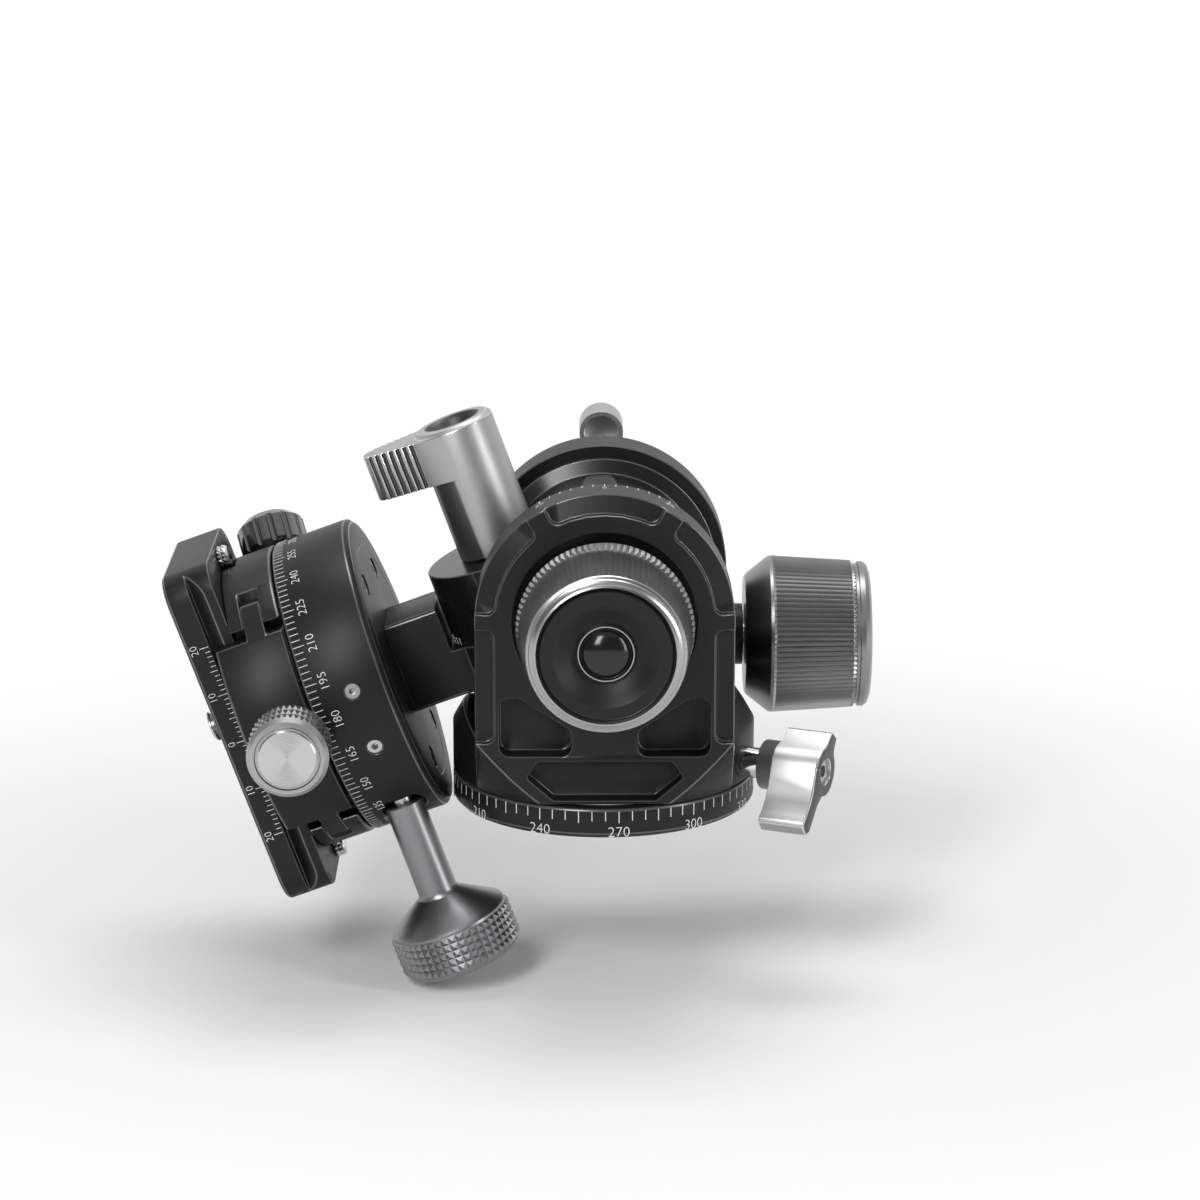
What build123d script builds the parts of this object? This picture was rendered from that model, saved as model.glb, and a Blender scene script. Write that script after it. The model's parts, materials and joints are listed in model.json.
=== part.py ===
"""Geared tripod head with a side-mounted second axis, a geared panning drum and a plate clamp.

Sizes are in millimetres. The origin is the mouth of the tripod socket, in the middle of the
base's underside. +Z points up, +X to the right of somebody who faces the dished lock knob, and
+Y away from them. The tilting pieces are drawn upright, with their own X, Y and Z measured from
the tilt axis, and are then swung to the stored angle.
"""

import os
from math import acos, atan2, cos, degrees, hypot, pi, radians, sin, sqrt, tan

from build123d import *

os.makedirs("parts", exist_ok=True)

# ---- driving sizes: base and panning joint -------------------------------------------------
base_radius = 30.0
base_height = 6.0
base_edge = 1.0
pan_gap = 0.3
hub_radius = 14.0
hub_top = 15.3
socket_thread_radius = 3.97
socket_depth = 11.0
insert_radius = 7.5
retainer_radius = 16.8
retainer_thickness = 1.8
running_gap = 0.06
beyond = 80.0

# ---- driving sizes: fork frame and tilt axis -----------------------------------------------
tilt_axis_z = 42.5
stored_tilt = -110.0
arch_radius = 25.0
front_face = -27.5
rear_face = 27.0
cheek_inner = 17.5
rim_top = 15.8
shoulder_top = 18.8
shoulder_radius = base_radius - 1.7
floor_top = 21.5
floor_radius = base_radius - 3.5
flare = 0.565
border_width = 3.8
border_depth = 1.5
window_depth = 4.6
window_corner = 2.0
foot_pocket_depth = 4.0
knob_opening_radius = 17.75
knob_opening_depth = 5.0
journal_bush_radius = 8.0
axle_radius = 6.0

# ---- driving sizes: worm drives ------------------------------------------------------------
tilt_module = 0.8
tilt_teeth = 32
tilt_worm_radius = 3.2
tilt_worm_y = 24.5
tilt_wheel_width = 4.6
pan_module = 0.75
pan_teeth = 40
pan_worm_radius = 3.0
pan_worm_z = 50.2
pan_wheel_width = 4.8
pressure_angle = 20.0
backlash = 0.1
addendum = 0.8
dedendum = 1.1
worm_turns = 5

# ---- driving sizes: drum, hub and arm (measured from the tilt axis) ------------------------
drum_radius = 20.0
flange_radius = 23.0
flange_width = 3.2
flange_gap = 0.3
hub_z = 16.4
hub_disc_radius = 15.1
lever_cheek_end = 15.0
far_cheek_end = -16.5
arm_side = 9.2
arm_half_width = 8.0
arm_clearance = 0.15
hub_pin_radius = 5.0
arm_bush_radius = 7.0
arm_top = 42.7
arm_step = 31.9

# ---- driving sizes: panning drum and clamp -------------------------------------------------
drum_case_radius = 30.0
case_top = 58.5
clamp_bottom = case_top + 0.4
clamp_floor = 69.0
jaw_top = clamp_floor + 3.8
plate_under = jaw_top + 1.2
plate_top = plate_under + 4.8
plate_length = 69.5
plate_width = 39.0
plate_corner = 5.8
case_floor_radius = drum_case_radius - 6.0
case_floor_thickness = 2.5
spindle_neck = 10.0
spindle_drum = 7.0
dovetail_half = plate_width / 2 - 0.1
dovetail_lip = 2.0
dovetail_gap = 0.15
jaw_half = 19.1
jaw_recess_half = 21.2
jaw_tongue_half = 24.6
jaw_tongue_bottom = 62.3
jaw_tongue_top = 66.2
jaw_split = dovetail_half - 2.1
tongue_split = jaw_split - 3.4
fixed_jaw_half = 22.0
jaw_screw_z = 63.8
jaw_screw_radius = 2.5

# ---- driving sizes: knobs and levers -------------------------------------------------------
front_knob_radius = 17.1
front_knob_small = 15.1
front_knob_start = -32.5
front_knob_end = -50.0
gear_knob_z = 26.5
gear_knob_start = 29.0
gear_knob_radius = 16.1
gear_knob_small = 15.1
gear_knob_back = 12.4
gear_knob_end = gear_knob_start + 25.4
wing_angle = -25.0
wing_z = 10.5
wing_start = base_radius + 4.8
wing_length = 12.8
wing_width = 9.5
wing_boss_radius = 4.9
stem_radius = 3.9
stem_y = -18.0
stem_start = drum_case_radius - 7.4
stem_end = stem_start + 19.6
stem_knob_start = stem_end + 5.5
stem_knob_end = stem_knob_start + 9.3
stem_knob_radius = 12.4
hub_lever_radius = 8.0
hub_lever_end = 42.0
hub_lever_reach = 14.8
hub_lever_tip = 4.0
rear_hub_radius = 7.5
rear_hub_length = 8.0
rear_neck_radius = 3.6
rear_tip_radius = 4.6
rear_tip_length = 9.5
rear_tip_height = 20.9
jaw_knob_radius = 8.0
jaw_knob_start = drum_case_radius + 3.0
jaw_knob_end = jaw_knob_start + 11.6
pan_lock_angle = 37.0
pan_lock_z = 61.0
pan_lock_radius = 6.9
pan_lock_start = drum_case_radius + 0.5
pan_lock_end = pan_lock_start + 8.0
screw_slip = 0.03


# ---- shape helpers -------------------------------------------------------------------------
def cyl_z(radius, low, high, x=0.0, y=0.0):
    """A round bar along Z."""
    return Pos(x, y, (low + high) / 2) * Cylinder(radius, high - low)


def cyl_x(radius, low, high, y=0.0, z=0.0):
    """A round bar along X."""
    return Pos((low + high) / 2, y, z) * Rot(0, 90, 0) * Cylinder(radius, high - low)


def cyl_y(radius, low, high, x=0.0, z=0.0):
    """A round bar along Y."""
    return Pos(x, (low + high) / 2, z) * Rot(-90, 0, 0) * Cylinder(radius, high - low)


def block(x_low, x_high, y_low, y_high, z_low, z_high):
    """A box between two corners."""
    centre = Pos((x_low + x_high) / 2, (y_low + y_high) / 2, (z_low + z_high) / 2)
    return centre * Box(x_high - x_low, y_high - y_low, z_high - z_low)


def turned(*outline):
    """A turned piece: (radius, height) points round +Z."""
    points = [(radius, 0, height) for radius, height in outline]
    return revolve(make_face(Polyline(*points, close=True)), Axis.Z)


def along_x(shape):
    """Lay a piece drawn along +Z along +X."""
    return Rot(0, 90, 0) * shape


def along_y(shape):
    """Lay a piece drawn along +Z along +Y."""
    return Rot(-90, 0, 0) * shape


def front_plate(points, depth, face):
    """A flat shape of (x, z) points, cut inwards from a face that looks along -Y."""
    outline = make_face(Polyline(*[(x, face, z) for x, z in points], close=True))
    return extrude(outline, depth, dir=(0, 1, 0))


def ridged(radius, valley, count, low, high):
    """A bar along Z whose outside is a ring of straight V ridges."""
    points = []
    for index in range(2 * count):
        reach = radius if index % 2 == 0 else valley
        turn = pi * index / count
        points.append((reach * cos(turn), reach * sin(turn), low))
    return extrude(make_face(Polyline(*points, close=True)), high - low, dir=(0, 0, 1))


def radial(angle, shape):
    """Point a piece drawn along +X outwards at an angle round Z."""
    return Rot(0, 0, angle) * shape


def tilted(shape):
    """Swing an upright piece, drawn from the tilt axis, to the stored angle."""
    return Pos(0, 0, tilt_axis_z) * Rot(0, stored_tilt, 0) * shape


def save(name, *solids):
    """Write one sub-part."""
    pieces = []
    for shape in solids:
        pieces.extend(shape.solids())
    whole = pieces[0] if len(pieces) == 1 else Compound(pieces)
    export_step(whole, f"parts/{name}.step")
    print(f"{name}: {len(pieces)} solid, {sum(piece.volume for piece in pieces):.1f} mm3")


# ---- gears ---------------------------------------------------------------------------------
def involute(angle):
    """The involute function of a pressure angle in radians."""
    return tan(angle) - angle


def worm(module, pitch_radius):
    """A single-start right-hand worm along Z, with a thread crest at +X at height 0."""
    pitch = pi * module
    length = 2 * worm_turns * pitch / 2
    tip = pitch_radius + addendum * module
    root = pitch_radius - dedendum * module
    slope = tan(radians(pressure_angle))
    half_pitch_line = pitch / 4 - backlash / 2
    half_tip = half_pitch_line - (tip - pitch_radius) * slope
    half_root = half_pitch_line + (pitch_radius - root) * slope
    start = -(worm_turns // 2) * pitch
    height = 2 * (worm_turns // 2) * pitch
    sunk = 0.1
    profile = make_face(Polyline((root - sunk, 0, start - half_root), (tip, 0, start - half_tip),
                                 (tip, 0, start + half_tip), (root - sunk, 0, start + half_root),
                                 close=True))
    path = Helix(pitch, height, pitch_radius, center=(0, 0, start))
    thread = sweep(profile, path=path, is_frenet=True)
    return Cylinder(root, length) + thread


def worm_wheel(module, teeth, worm_radius, width, bore, gap_angle):
    """A helical wheel round Z, centred on height 0, with a tooth gap at one angle."""
    pitch_radius = module * teeth / 2
    base = pitch_radius * cos(radians(pressure_angle))
    root = pitch_radius - dedendum * module
    tip = pitch_radius + addendum * module
    half = pi / (2 * teeth) - backlash / (2 * pitch_radius)
    at_root = half + involute(radians(pressure_angle))
    at_tip = at_root - involute(acos(base / tip))
    points = []
    lead = module / (2 * worm_radius)
    twist = degrees(width * lead / pitch_radius)
    for tooth in range(teeth):
        middle = radians(gap_angle - twist / 2) + 2 * pi * (tooth + 0.5) / teeth
        for radius, offset in ((root, -at_root), (tip, -at_tip), (tip, at_tip), (root, at_root)):
            points.append((radius * cos(middle + offset), radius * sin(middle + offset), 0))
    face = make_face(Polyline(*points, close=True)).faces()[0]
    gear = Solid.extrude_linear_with_rotation(face, (0, 0, 0), (0, 0, width), twist)
    return Pos(0, 0, -width / 2) * gear - Cylinder(bore, 2 * width)


# ---- base ----------------------------------------------------------------------------------
retainer_bolt_circle = 10.6
retainer_angles = (30, 150, 270)
frame_bottom = base_height + pan_gap
ledge = hub_top - pan_gap
frame_bore = hub_radius + running_gap
retainer_bore = retainer_radius + 0.4


def make_base():
    """Base disc with its panning hub, tripod thread insert, retainer, washers and screws."""
    disc = turned((0, 0), (base_radius - base_edge, 0), (base_radius, base_edge),
                  (base_radius, base_height - 0.3), (base_radius - 0.3, base_height),
                  (hub_radius, base_height), (hub_radius, hub_top), (0, hub_top))
    disc -= cyl_z(insert_radius, 0, socket_depth)
    insert = cyl_z(insert_radius, 0, socket_depth) - cyl_z(socket_thread_radius, 0, socket_depth)
    retainer = cyl_z(retainer_radius, hub_top, hub_top + retainer_thickness)
    screws = []
    head_depth = 1.2
    top = hub_top + retainer_thickness
    for angle in retainer_angles:
        x = retainer_bolt_circle * cos(radians(angle))
        y = retainer_bolt_circle * sin(radians(angle))
        disc -= cyl_z(1.2, hub_top - 7.0, hub_top, x, y)
        retainer -= cyl_z(1.3, hub_top, top, x, y) + cyl_z(2.4, top - head_depth, top, x, y)
        head = cyl_z(2.3, top - head_depth, top, x, y) - cyl_z(1.0, top - 0.8, top, x, y)
        screws.append(head + cyl_z(1.2, hub_top - 6.5, top - head_depth, x, y))
    save("base_disc", disc)
    save("tripod_thread_insert", insert)
    save("pan_retainer_plate", retainer)
    save("pan_retainer_screws", *screws)
    lower = cyl_z(-front_face - 0.5, base_height, frame_bottom)
    save("pan_washer_lower", lower - cyl_z(hub_radius + 1.5, base_height, frame_bottom))
    upper = cyl_z(retainer_radius - 0.2, ledge, hub_top)
    save("pan_washer_upper", upper - cyl_z(hub_radius + 0.3, ledge, hub_top))


# ---- fork frame ----------------------------------------------------------------------------
tilt_worm_z = tilt_axis_z - (tilt_module * tilt_teeth / 2 + tilt_worm_radius)
worm_tunnel = tilt_worm_radius + addendum * tilt_module + 0.5
worm_reach = worm_turns * pi * tilt_module / 2
bearing_radius = 5.0
bearing_flange = 6.25
bearing_start = 14.0
tail_start = -14.0
tail_journal = 1.5
cover_rear = rear_face + 4.0
cover_screws = ((-13.3, 53.6), (13.3, 53.6), (-20.3, 19.5), (20.3, 19.5))
cover_half = 23.5
cover_bottom = 16.7
cover_radius = 20.0
cover_boss_radius = 8.5
cover_boss_end = cover_rear + 4.5
brake_pad_thickness = 2.35
wheel_pocket_radius = tilt_module * (tilt_teeth / 2 + addendum) + 1.1
wheel_front = tilt_worm_y - tilt_wheel_width / 2
wheel_pocket_front = wheel_front - 0.3
shoe_radius = 2.6
shoe_end = base_radius - 9.0
wing_screw_radius = 2.1
wing_bush_radius = 2.9
wing_collar_radius = 3.0
wing_bush_start = base_radius - 4.0


def worm_space():
    """The room for the tilt worm and its bearings, shared by the frame and the gear cover."""
    space = cyl_x(worm_tunnel, tail_start + 5.0, bearing_start, tilt_worm_y, tilt_worm_z)
    space += cyl_x(bearing_radius, bearing_start, arch_radius + 1, tilt_worm_y, tilt_worm_z)
    return space + cyl_x(tail_journal + screw_slip, tail_start, tail_start + 5, tilt_worm_y, tilt_worm_z)


def arch_outline(y, depth):
    """One arched cheek of the fork."""
    straight = block(-arch_radius, arch_radius, y, y + depth, frame_bottom, tilt_axis_z)
    return straight + cyl_y(arch_radius, y, y + depth, 0, tilt_axis_z)


def border_pocket(start, end, inner):
    """A stepped pocket in the front face's border, open to the outside of the arch."""
    outer = arch_radius + 1.0
    corner = 1.8
    step = 6
    points = []
    for index in range(step + 1):
        turn = radians(start + (end - start) * index / step)
        points.append((inner * cos(turn), tilt_axis_z + inner * sin(turn)))
    for index in range(step + 1):
        turn = radians(end + (start - end) * index / step)
        points.append((outer * 1.06 * cos(turn), tilt_axis_z + outer * 1.06 * sin(turn)))
    cut = front_plate(points, border_depth, front_face)
    inner_edges = [edge for edge in cut.edges().filter_by(Axis.Y)
                   if hypot(edge.center().X, edge.center().Z - tilt_axis_z) < inner + 0.3
                   and min(abs(degrees(atan2(edge.center().Z - tilt_axis_z, edge.center().X)) - end),
                           abs(degrees(atan2(edge.center().Z - tilt_axis_z, edge.center().X)) - start)) < 2]
    return fillet(inner_edges, corner)


def rounded_pocket(points, depth, corner):
    """A pocket in the front face with rounded corners."""
    cut = front_plate(points, depth, front_face)
    return fillet(cut.edges().filter_by(Axis.Y), corner)


def make_frame():
    """The one-piece fork: round foot, front cheek, rear cheek."""
    top = tilt_axis_z + arch_radius + 5
    foot = turned((0, frame_bottom), (base_radius, frame_bottom), (base_radius, rim_top),
                  (shoulder_radius, shoulder_top), (floor_radius, floor_top), (0, floor_top))
    front = arch_outline(front_face, -front_face - cheek_inner)
    rear = arch_outline(cheek_inner, rear_face - cheek_inner)
    cone = turned((0, frame_bottom), (base_radius + flare * pan_gap, frame_bottom),
                  (base_radius + flare * (top - base_height), top), (0, top))
    frame = (foot + front + rear) & cone
    frame -= block(-beyond, beyond, -beyond, front_face, 0, top)
    frame -= cyl_z(frame_bore, frame_bottom, ledge) + cyl_z(retainer_bore, ledge, floor_top)
    frame -= cyl_y(flange_radius + 0.5, -cheek_inner, cheek_inner, 0, tilt_axis_z)
    sweep_radius = hypot(far_cheek_end, hub_z + hub_disc_radius) + 0.6
    relief_side = hub_disc_radius + 0.5
    swept = cyl_y(sweep_radius, -relief_side, relief_side)
    swept &= block(far_cheek_end - 0.5, beyond, -relief_side, relief_side, 0, beyond)
    frame -= tilted(swept)
    opening_floor = front_face + knob_opening_depth
    frame -= cyl_y(knob_opening_radius, front_face, opening_floor, 0, tilt_axis_z)
    frame -= cyl_y(journal_bush_radius, opening_floor, -cheek_inner, 0, tilt_axis_z)
    frame -= cyl_y(journal_bush_radius, cheek_inner, wheel_pocket_front, 0, tilt_axis_z)
    frame -= cyl_y(wheel_pocket_radius, wheel_pocket_front, rear_face, 0, tilt_axis_z)
    frame -= worm_space()
    for x, z in cover_screws:
        frame -= cyl_y(1.2, rear_face - 6, rear_face, x, z)
    frame -= radial(wing_angle, cyl_x(shoe_radius + 0.05, hub_radius - 1, shoe_end, 0, wing_z))
    frame -= radial(wing_angle, cyl_x(wing_screw_radius + 0.05, shoe_end, wing_bush_start, 0, wing_z))
    frame -= radial(wing_angle, cyl_x(wing_bush_radius, wing_bush_start, base_radius + 1, 0, wing_z))
    inner = arch_radius - border_width
    for start, end in ((62.5, 117.5), (127, 176), (4, 53)):
        frame -= border_pocket(start, end, inner)
    for side in (-1, 1):
        x_low, x_high = sorted((side * inner, side * (arch_radius + 1)))
        pocket = front_plate(((x_low, 18.5), (x_high, 18.5), (x_high, 41.0), (x_low, 41.0)),
                             border_depth, front_face)
        edges = [e for e in pocket.edges().filter_by(Axis.Y) if abs(e.center().X) < inner + 0.1]
        frame -= fillet(edges, 1.8)
        window = ((side * 20.3, 15.9), (side * 6.4, 15.9), (side * 6.4, 21.0), (side * 16.5, 27.5),
                  (side * 20.3, 27.5))
        frame -= rounded_pocket(window, window_depth, window_corner)
    lower = ((-13, 14.8), (13, 14.8), (15.2, 11.6), (9.9, 7.0), (-9.9, 7.0), (-15.2, 11.6))
    frame -= rounded_pocket(lower, foot_pocket_depth, 0.9)
    flat = cover_half + 0.3
    frame -= block(-flat, flat, rear_face, cover_rear + 1, cover_bottom - 0.3, floor_top + 1)
    save("fork_frame", frame)

    web = (opening_floor, -cheek_inner - 0.2)
    bore = axle_radius + screw_slip
    save("front_axle_bush", cyl_y(journal_bush_radius, *web, 0, tilt_axis_z)
         - cyl_y(bore, *web, 0, tilt_axis_z))
    web = (cheek_inner + 0.2, wheel_pocket_front)
    save("rear_axle_bush", cyl_y(journal_bush_radius, *web, 0, tilt_axis_z)
         - cyl_y(bore, *web, 0, tilt_axis_z))

    cover = cyl_y(cover_radius, rear_face, cover_rear, 0, tilt_axis_z)
    cover += block(-cover_half, cover_half, rear_face, cover_rear, cover_bottom, tilt_axis_z - 7)
    cover = chamfer(cover.edges().group_by(Axis.Y)[-1], 0.8)
    cover += cyl_y(cover_boss_radius, cover_rear, cover_boss_end, 0, tilt_axis_z)
    cover -= worm_space()
    cover -= cyl_y(rear_screw_radius + screw_slip, rear_face, cover_boss_end, 0, tilt_axis_z)
    pad_pocket = rear_face + brake_pad_thickness + 0.05
    cover -= cyl_y(lock_pad_radius + 0.1, rear_face, pad_pocket, 0, tilt_axis_z)
    screws = []
    for x, z in cover_screws:
        cover -= cyl_y(1.25, rear_face, cover_rear, x, z) + cyl_y(2.4, cover_rear - 1.6, cover_rear, x, z)
        head = cyl_y(2.3, cover_rear - 1.6, cover_rear - 0.1, x, z)
        head -= cyl_y(1.0, cover_rear - 1.0, cover_rear, x, z)
        screws.append(head + cyl_y(1.2, rear_face - 5.5, cover_rear - 1.6, x, z))
    save("rear_gear_cover", cover)
    save("rear_cover_screws", *screws)


# ---- tilt worm and its knob ----------------------------------------------------------------
worm_shaft_radius = 2.5
worm_shaft_end = gear_knob_end - 7.0


def make_tilt_drive():
    """Worm, its bearings, and the knurled knob on the right."""
    place = Pos(0, tilt_worm_y, tilt_worm_z)
    turned_worm = place * along_x(Rot(0, 0, 180) * worm(tilt_module, tilt_worm_radius))
    turned_worm += cyl_x(tail_journal, tail_start + 0.4, -worm_reach, tilt_worm_y, tilt_worm_z)
    turned_worm += cyl_x(worm_shaft_radius, worm_reach, worm_shaft_end, tilt_worm_y, tilt_worm_z)
    save("tilt_worm", turned_worm)
    flange_end = gear_knob_start - 0.4
    bearing = cyl_x(bearing_radius, bearing_start + 0.1, arch_radius, tilt_worm_y, tilt_worm_z)
    bearing += cyl_x(bearing_flange, arch_radius, flange_end, tilt_worm_y, tilt_worm_z)
    bearing -= cyl_x(worm_shaft_radius + screw_slip, bearing_start, flange_end + 1,
                     tilt_worm_y, tilt_worm_z)
    save("worm_bearing", bearing)

    knurl_start = gear_knob_start + 4.5
    knurl_end = gear_knob_end - 3.0
    grip = turned((0, knurl_start), (gear_knob_radius - 0.8, knurl_start),
                   (gear_knob_radius, knurl_start + 0.8), (gear_knob_small, knurl_end - 0.6),
                   (gear_knob_small - 0.6, knurl_end), (0, knurl_end))
    shell = turned((0, gear_knob_start), (gear_knob_back, gear_knob_start),
                   (gear_knob_radius - 0.3, knurl_start),
                   (0, knurl_start)) + grip
    shell += turned((0, knurl_end), (gear_knob_small - 0.7, knurl_end),
                    (gear_knob_small - 0.7, gear_knob_end - 1.4), (gear_knob_small - 2.2, gear_knob_end),
                    (0, gear_knob_end))
    shell -= cyl_z(worm_shaft_radius, gear_knob_start, worm_shaft_end)
    shell -= cyl_z(knob_cap_radius, worm_shaft_end, gear_knob_end)
    save("gear_knob_grip", place * along_x(shell))
    cap_base = worm_shaft_end
    cap = turned((0, cap_base), (knob_cap_radius - 0.05, cap_base),
                 (knob_cap_radius - 0.05, gear_knob_end - 0.6), (knob_cap_radius - 0.8, gear_knob_end),
                 (9.9, gear_knob_end), (5.6, gear_knob_end - 3.0), (0, gear_knob_end - 3.0))
    save("gear_knob_cap", place * along_x(cap))
    dome = turned((0, gear_knob_end - 3.0), (5.2, gear_knob_end - 3.0), (5.2, gear_knob_end - 2.2),
                  (4.2, gear_knob_end - 1.2), (2.2, gear_knob_end - 0.6), (0, gear_knob_end - 0.45))
    save("gear_knob_button", place * along_x(dome))


# ---- panning lock: wing knob, screw and brake shoe -----------------------------------------
def make_wing_lock():
    """Brake shoe against the panning hub, its screw, and the two-winged knob."""
    shoe_start = hub_radius + 0.1
    shoe = cyl_x(shoe_radius, 0, shoe_end - 1.2, 0, wing_z) - cyl_z(shoe_start, 0, beyond)
    save("brake_shoe", radial(wing_angle, shoe))
    bush_end = wing_start - 0.2
    bush = cyl_x(wing_bush_radius, wing_bush_start, bush_end, 0, wing_z)
    bush += cyl_x(wing_collar_radius, base_radius, bush_end, 0, wing_z)
    bush -= cyl_x(wing_screw_radius + screw_slip, wing_bush_start, bush_end, 0, wing_z)
    save("wing_bush", radial(wing_angle, bush))
    end = wing_start + wing_length
    screw = cyl_x(wing_screw_radius, shoe_end - 1.2, end - 2.4, 0, wing_z)
    screw += cyl_x(2.55, end - 2.4, end - 0.6, 0, wing_z)
    screw -= cyl_x(1.2, end - 1.9, end, 0, wing_z)
    save("wing_screw", radial(wing_angle, screw))

    core = cyl_x(wing_boss_radius, wing_start, end)
    upper = ((1.2, 5.2), (3.3, 6.8), (4.1, 6.8), (6.1, 5.2), (5.0, 3.6), (4.5, 2.3))
    right = ((4.0, -0.8), (2.8, -3.3), (0.5, -4.3), (-1.8, -4.8), (-4.1, -6.0), (-6.8, -8.8))
    lower = ((-8.1, -10.0), (-9.8, -10.2), (-11.4, -8.2), (-11.1, -7.2), (-9.8, -6.4))
    left = ((-7.8, -4.4), (-6.5, -2.5), (-5.8, -0.5), (-4.6, 2.4), (-3.5, 3.7), (-1.5, 4.8))
    outline = make_face(Polyline(*[(end - wing_width, y, z) for y, z in upper + right + lower + left],
                                 close=True))
    wings = extrude(outline, wing_width, dir=(1, 0, 0))
    wings = chamfer(wings.faces().sort_by(Axis.X)[-1].edges(), 0.3)
    knob = core + wings
    knob -= cyl_x(wing_screw_radius, wing_start, end - 2.4) + cyl_x(2.6, end - 2.4, end)
    save("wing_knob", radial(wing_angle, Pos(0, 0, wing_z) * knob))


# ---- tilting drum, axles, wheel and front lock knob ----------------------------------------
flange_outer = cheek_inner - flange_gap
axle_seat = 12.4
rear_screw_radius = 4.0
lock_pad_radius = 5.2
axle_rear_end = rear_face - 0.05
knob_stud_radius = 4.0
knob_cap_radius = 12.5
thrust_start = front_face + knob_opening_depth
front_cap_seat = -front_knob_end - 3.5


def make_drum():
    """The drum that tilts between the cheeks, with the second axis's hub across its rim."""
    drum = cyl_y(drum_radius, -flange_outer, flange_outer)
    for side in (-1, 1):
        low, high = sorted((side * (flange_outer - flange_width), side * flange_outer))
        drum += cyl_y(flange_radius, low, high)
    drum += cyl_x(hub_disc_radius, far_cheek_end, lever_cheek_end, 0, hub_z)
    ring_space = (-arm_side - arm_clearance, arm_clearance)
    ring_clear = hub_disc_radius + 0.25
    drum -= cyl_x(ring_clear, *ring_space, 0, hub_z)
    drum -= block(*ring_space, -ring_clear, ring_clear, hub_z, beyond)
    drum -= cyl_x(hub_pin_radius, far_cheek_end, lever_cheek_end, 0, hub_z)
    drum -= cyl_x(pin_head_radius, far_cheek_end, far_cheek_end + 2.5, 0, hub_z)
    drum -= cyl_x(hub_lever_radius + 0.4, lever_cheek_end, lever_cheek_end + 10, 0, hub_z)
    for side in (-1, 1):
        low, high = sorted((side * axle_seat, side * flange_outer))
        drum -= cyl_y(axle_radius, low, high)
    hole = turned((0, drum_radius - 6.0), (1.5, drum_radius - 6.0), (2.0, drum_radius - 2.4),
                  (3.0, drum_radius + 1), (0, drum_radius + 1))
    drum -= Rot(0, 20, 0) * along_x(hole)
    save("tilt_drum", tilted(drum))

    front = cyl_y(axle_radius, thrust_start, -axle_seat)
    front += cyl_y(knob_stud_radius, 0.1 - front_cap_seat, thrust_start)
    save("front_axle", tilted(front))
    rear = cyl_y(axle_radius, axle_seat, axle_rear_end)
    save("rear_axle", tilted(rear))
    wheel = worm_wheel(tilt_module, tilt_teeth, tilt_worm_radius, tilt_wheel_width, axle_radius, 90)
    save("tilt_worm_wheel", Pos(0, tilt_worm_y, tilt_axis_z) * along_y(wheel))

    pin = cyl_x(hub_pin_radius, far_cheek_end + 2.4, lever_cheek_end, 0, hub_z)
    pin += cyl_x(pin_head_radius - 0.02, far_cheek_end + 0.2, far_cheek_end + 2.4, 0, hub_z)
    pin -= cyl_x(2.5, far_cheek_end + 0.2, far_cheek_end + 1.8, 0, hub_z)
    pin += cyl_x(lever_stud_radius, lever_cheek_end, hub_lever_end - 4.5, 0, hub_z)
    save("hub_pin", tilted(pin))


pin_head_radius = 8.0
lever_stud_radius = 4.0


def make_front_knob():
    """Thrust washer, knurled ring, dished cap and button of the tilt lock."""
    washer_start = thrust_start - 1.4
    washer = cyl_y(13.0, washer_start, thrust_start) - cyl_y(axle_radius, washer_start, thrust_start)
    save("lock_thrust_washer", Pos(0, 0, tilt_axis_z) * washer)
    length = front_knob_start - front_knob_end
    base = -front_knob_start
    end = -front_knob_end
    neck = -(thrust_start - 1.6)
    taper = (front_knob_radius - front_knob_small) / length
    grip = turned((0, base - 1.2), (front_knob_radius - 0.9, base - 1.2), (front_knob_radius, base),
                   (front_knob_radius - taper * length, end), (0, end))
    ring = grip + turned((0, neck), (14.0, neck), (14.0, base - 1.2), (0, base - 1.2))
    ring += turned((0, end), (front_knob_small - 0.1, end), (front_knob_small - 0.6, end + 0.5),
                   (front_knob_small - 1.0, end + 1.0), (0, end + 1.0))
    ring -= cyl_z(knob_stud_radius, neck, front_cap_seat)
    ring -= cyl_z(knob_cap_radius, front_cap_seat, end + 1.0)
    facing = Pos(0, 0, tilt_axis_z) * Rot(90, 0, 0)
    save("lock_knob_grip", facing * ring)
    face = end + 2.0
    cap = turned((0, front_cap_seat), (knob_cap_radius - 0.05, front_cap_seat),
                 (knob_cap_radius - 0.05, face - 0.6),
                 (knob_cap_radius - 0.7, face), (9.9, face), (9.2, face - 0.7), (6.0, face - 2.6),
                 (5.7, face - 3.0), (0, face - 3.0))
    save("lock_knob_cap", facing * cap)
    button = turned((0, face - 3.0), (5.2, face - 3.0), (5.2, face - 2.1), (4.9, face - 1.6),
                    (3.8, face - 0.9), (2.0, face - 0.5), (0, face - 0.35))
    save("lock_knob_button", facing * button)


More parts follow.
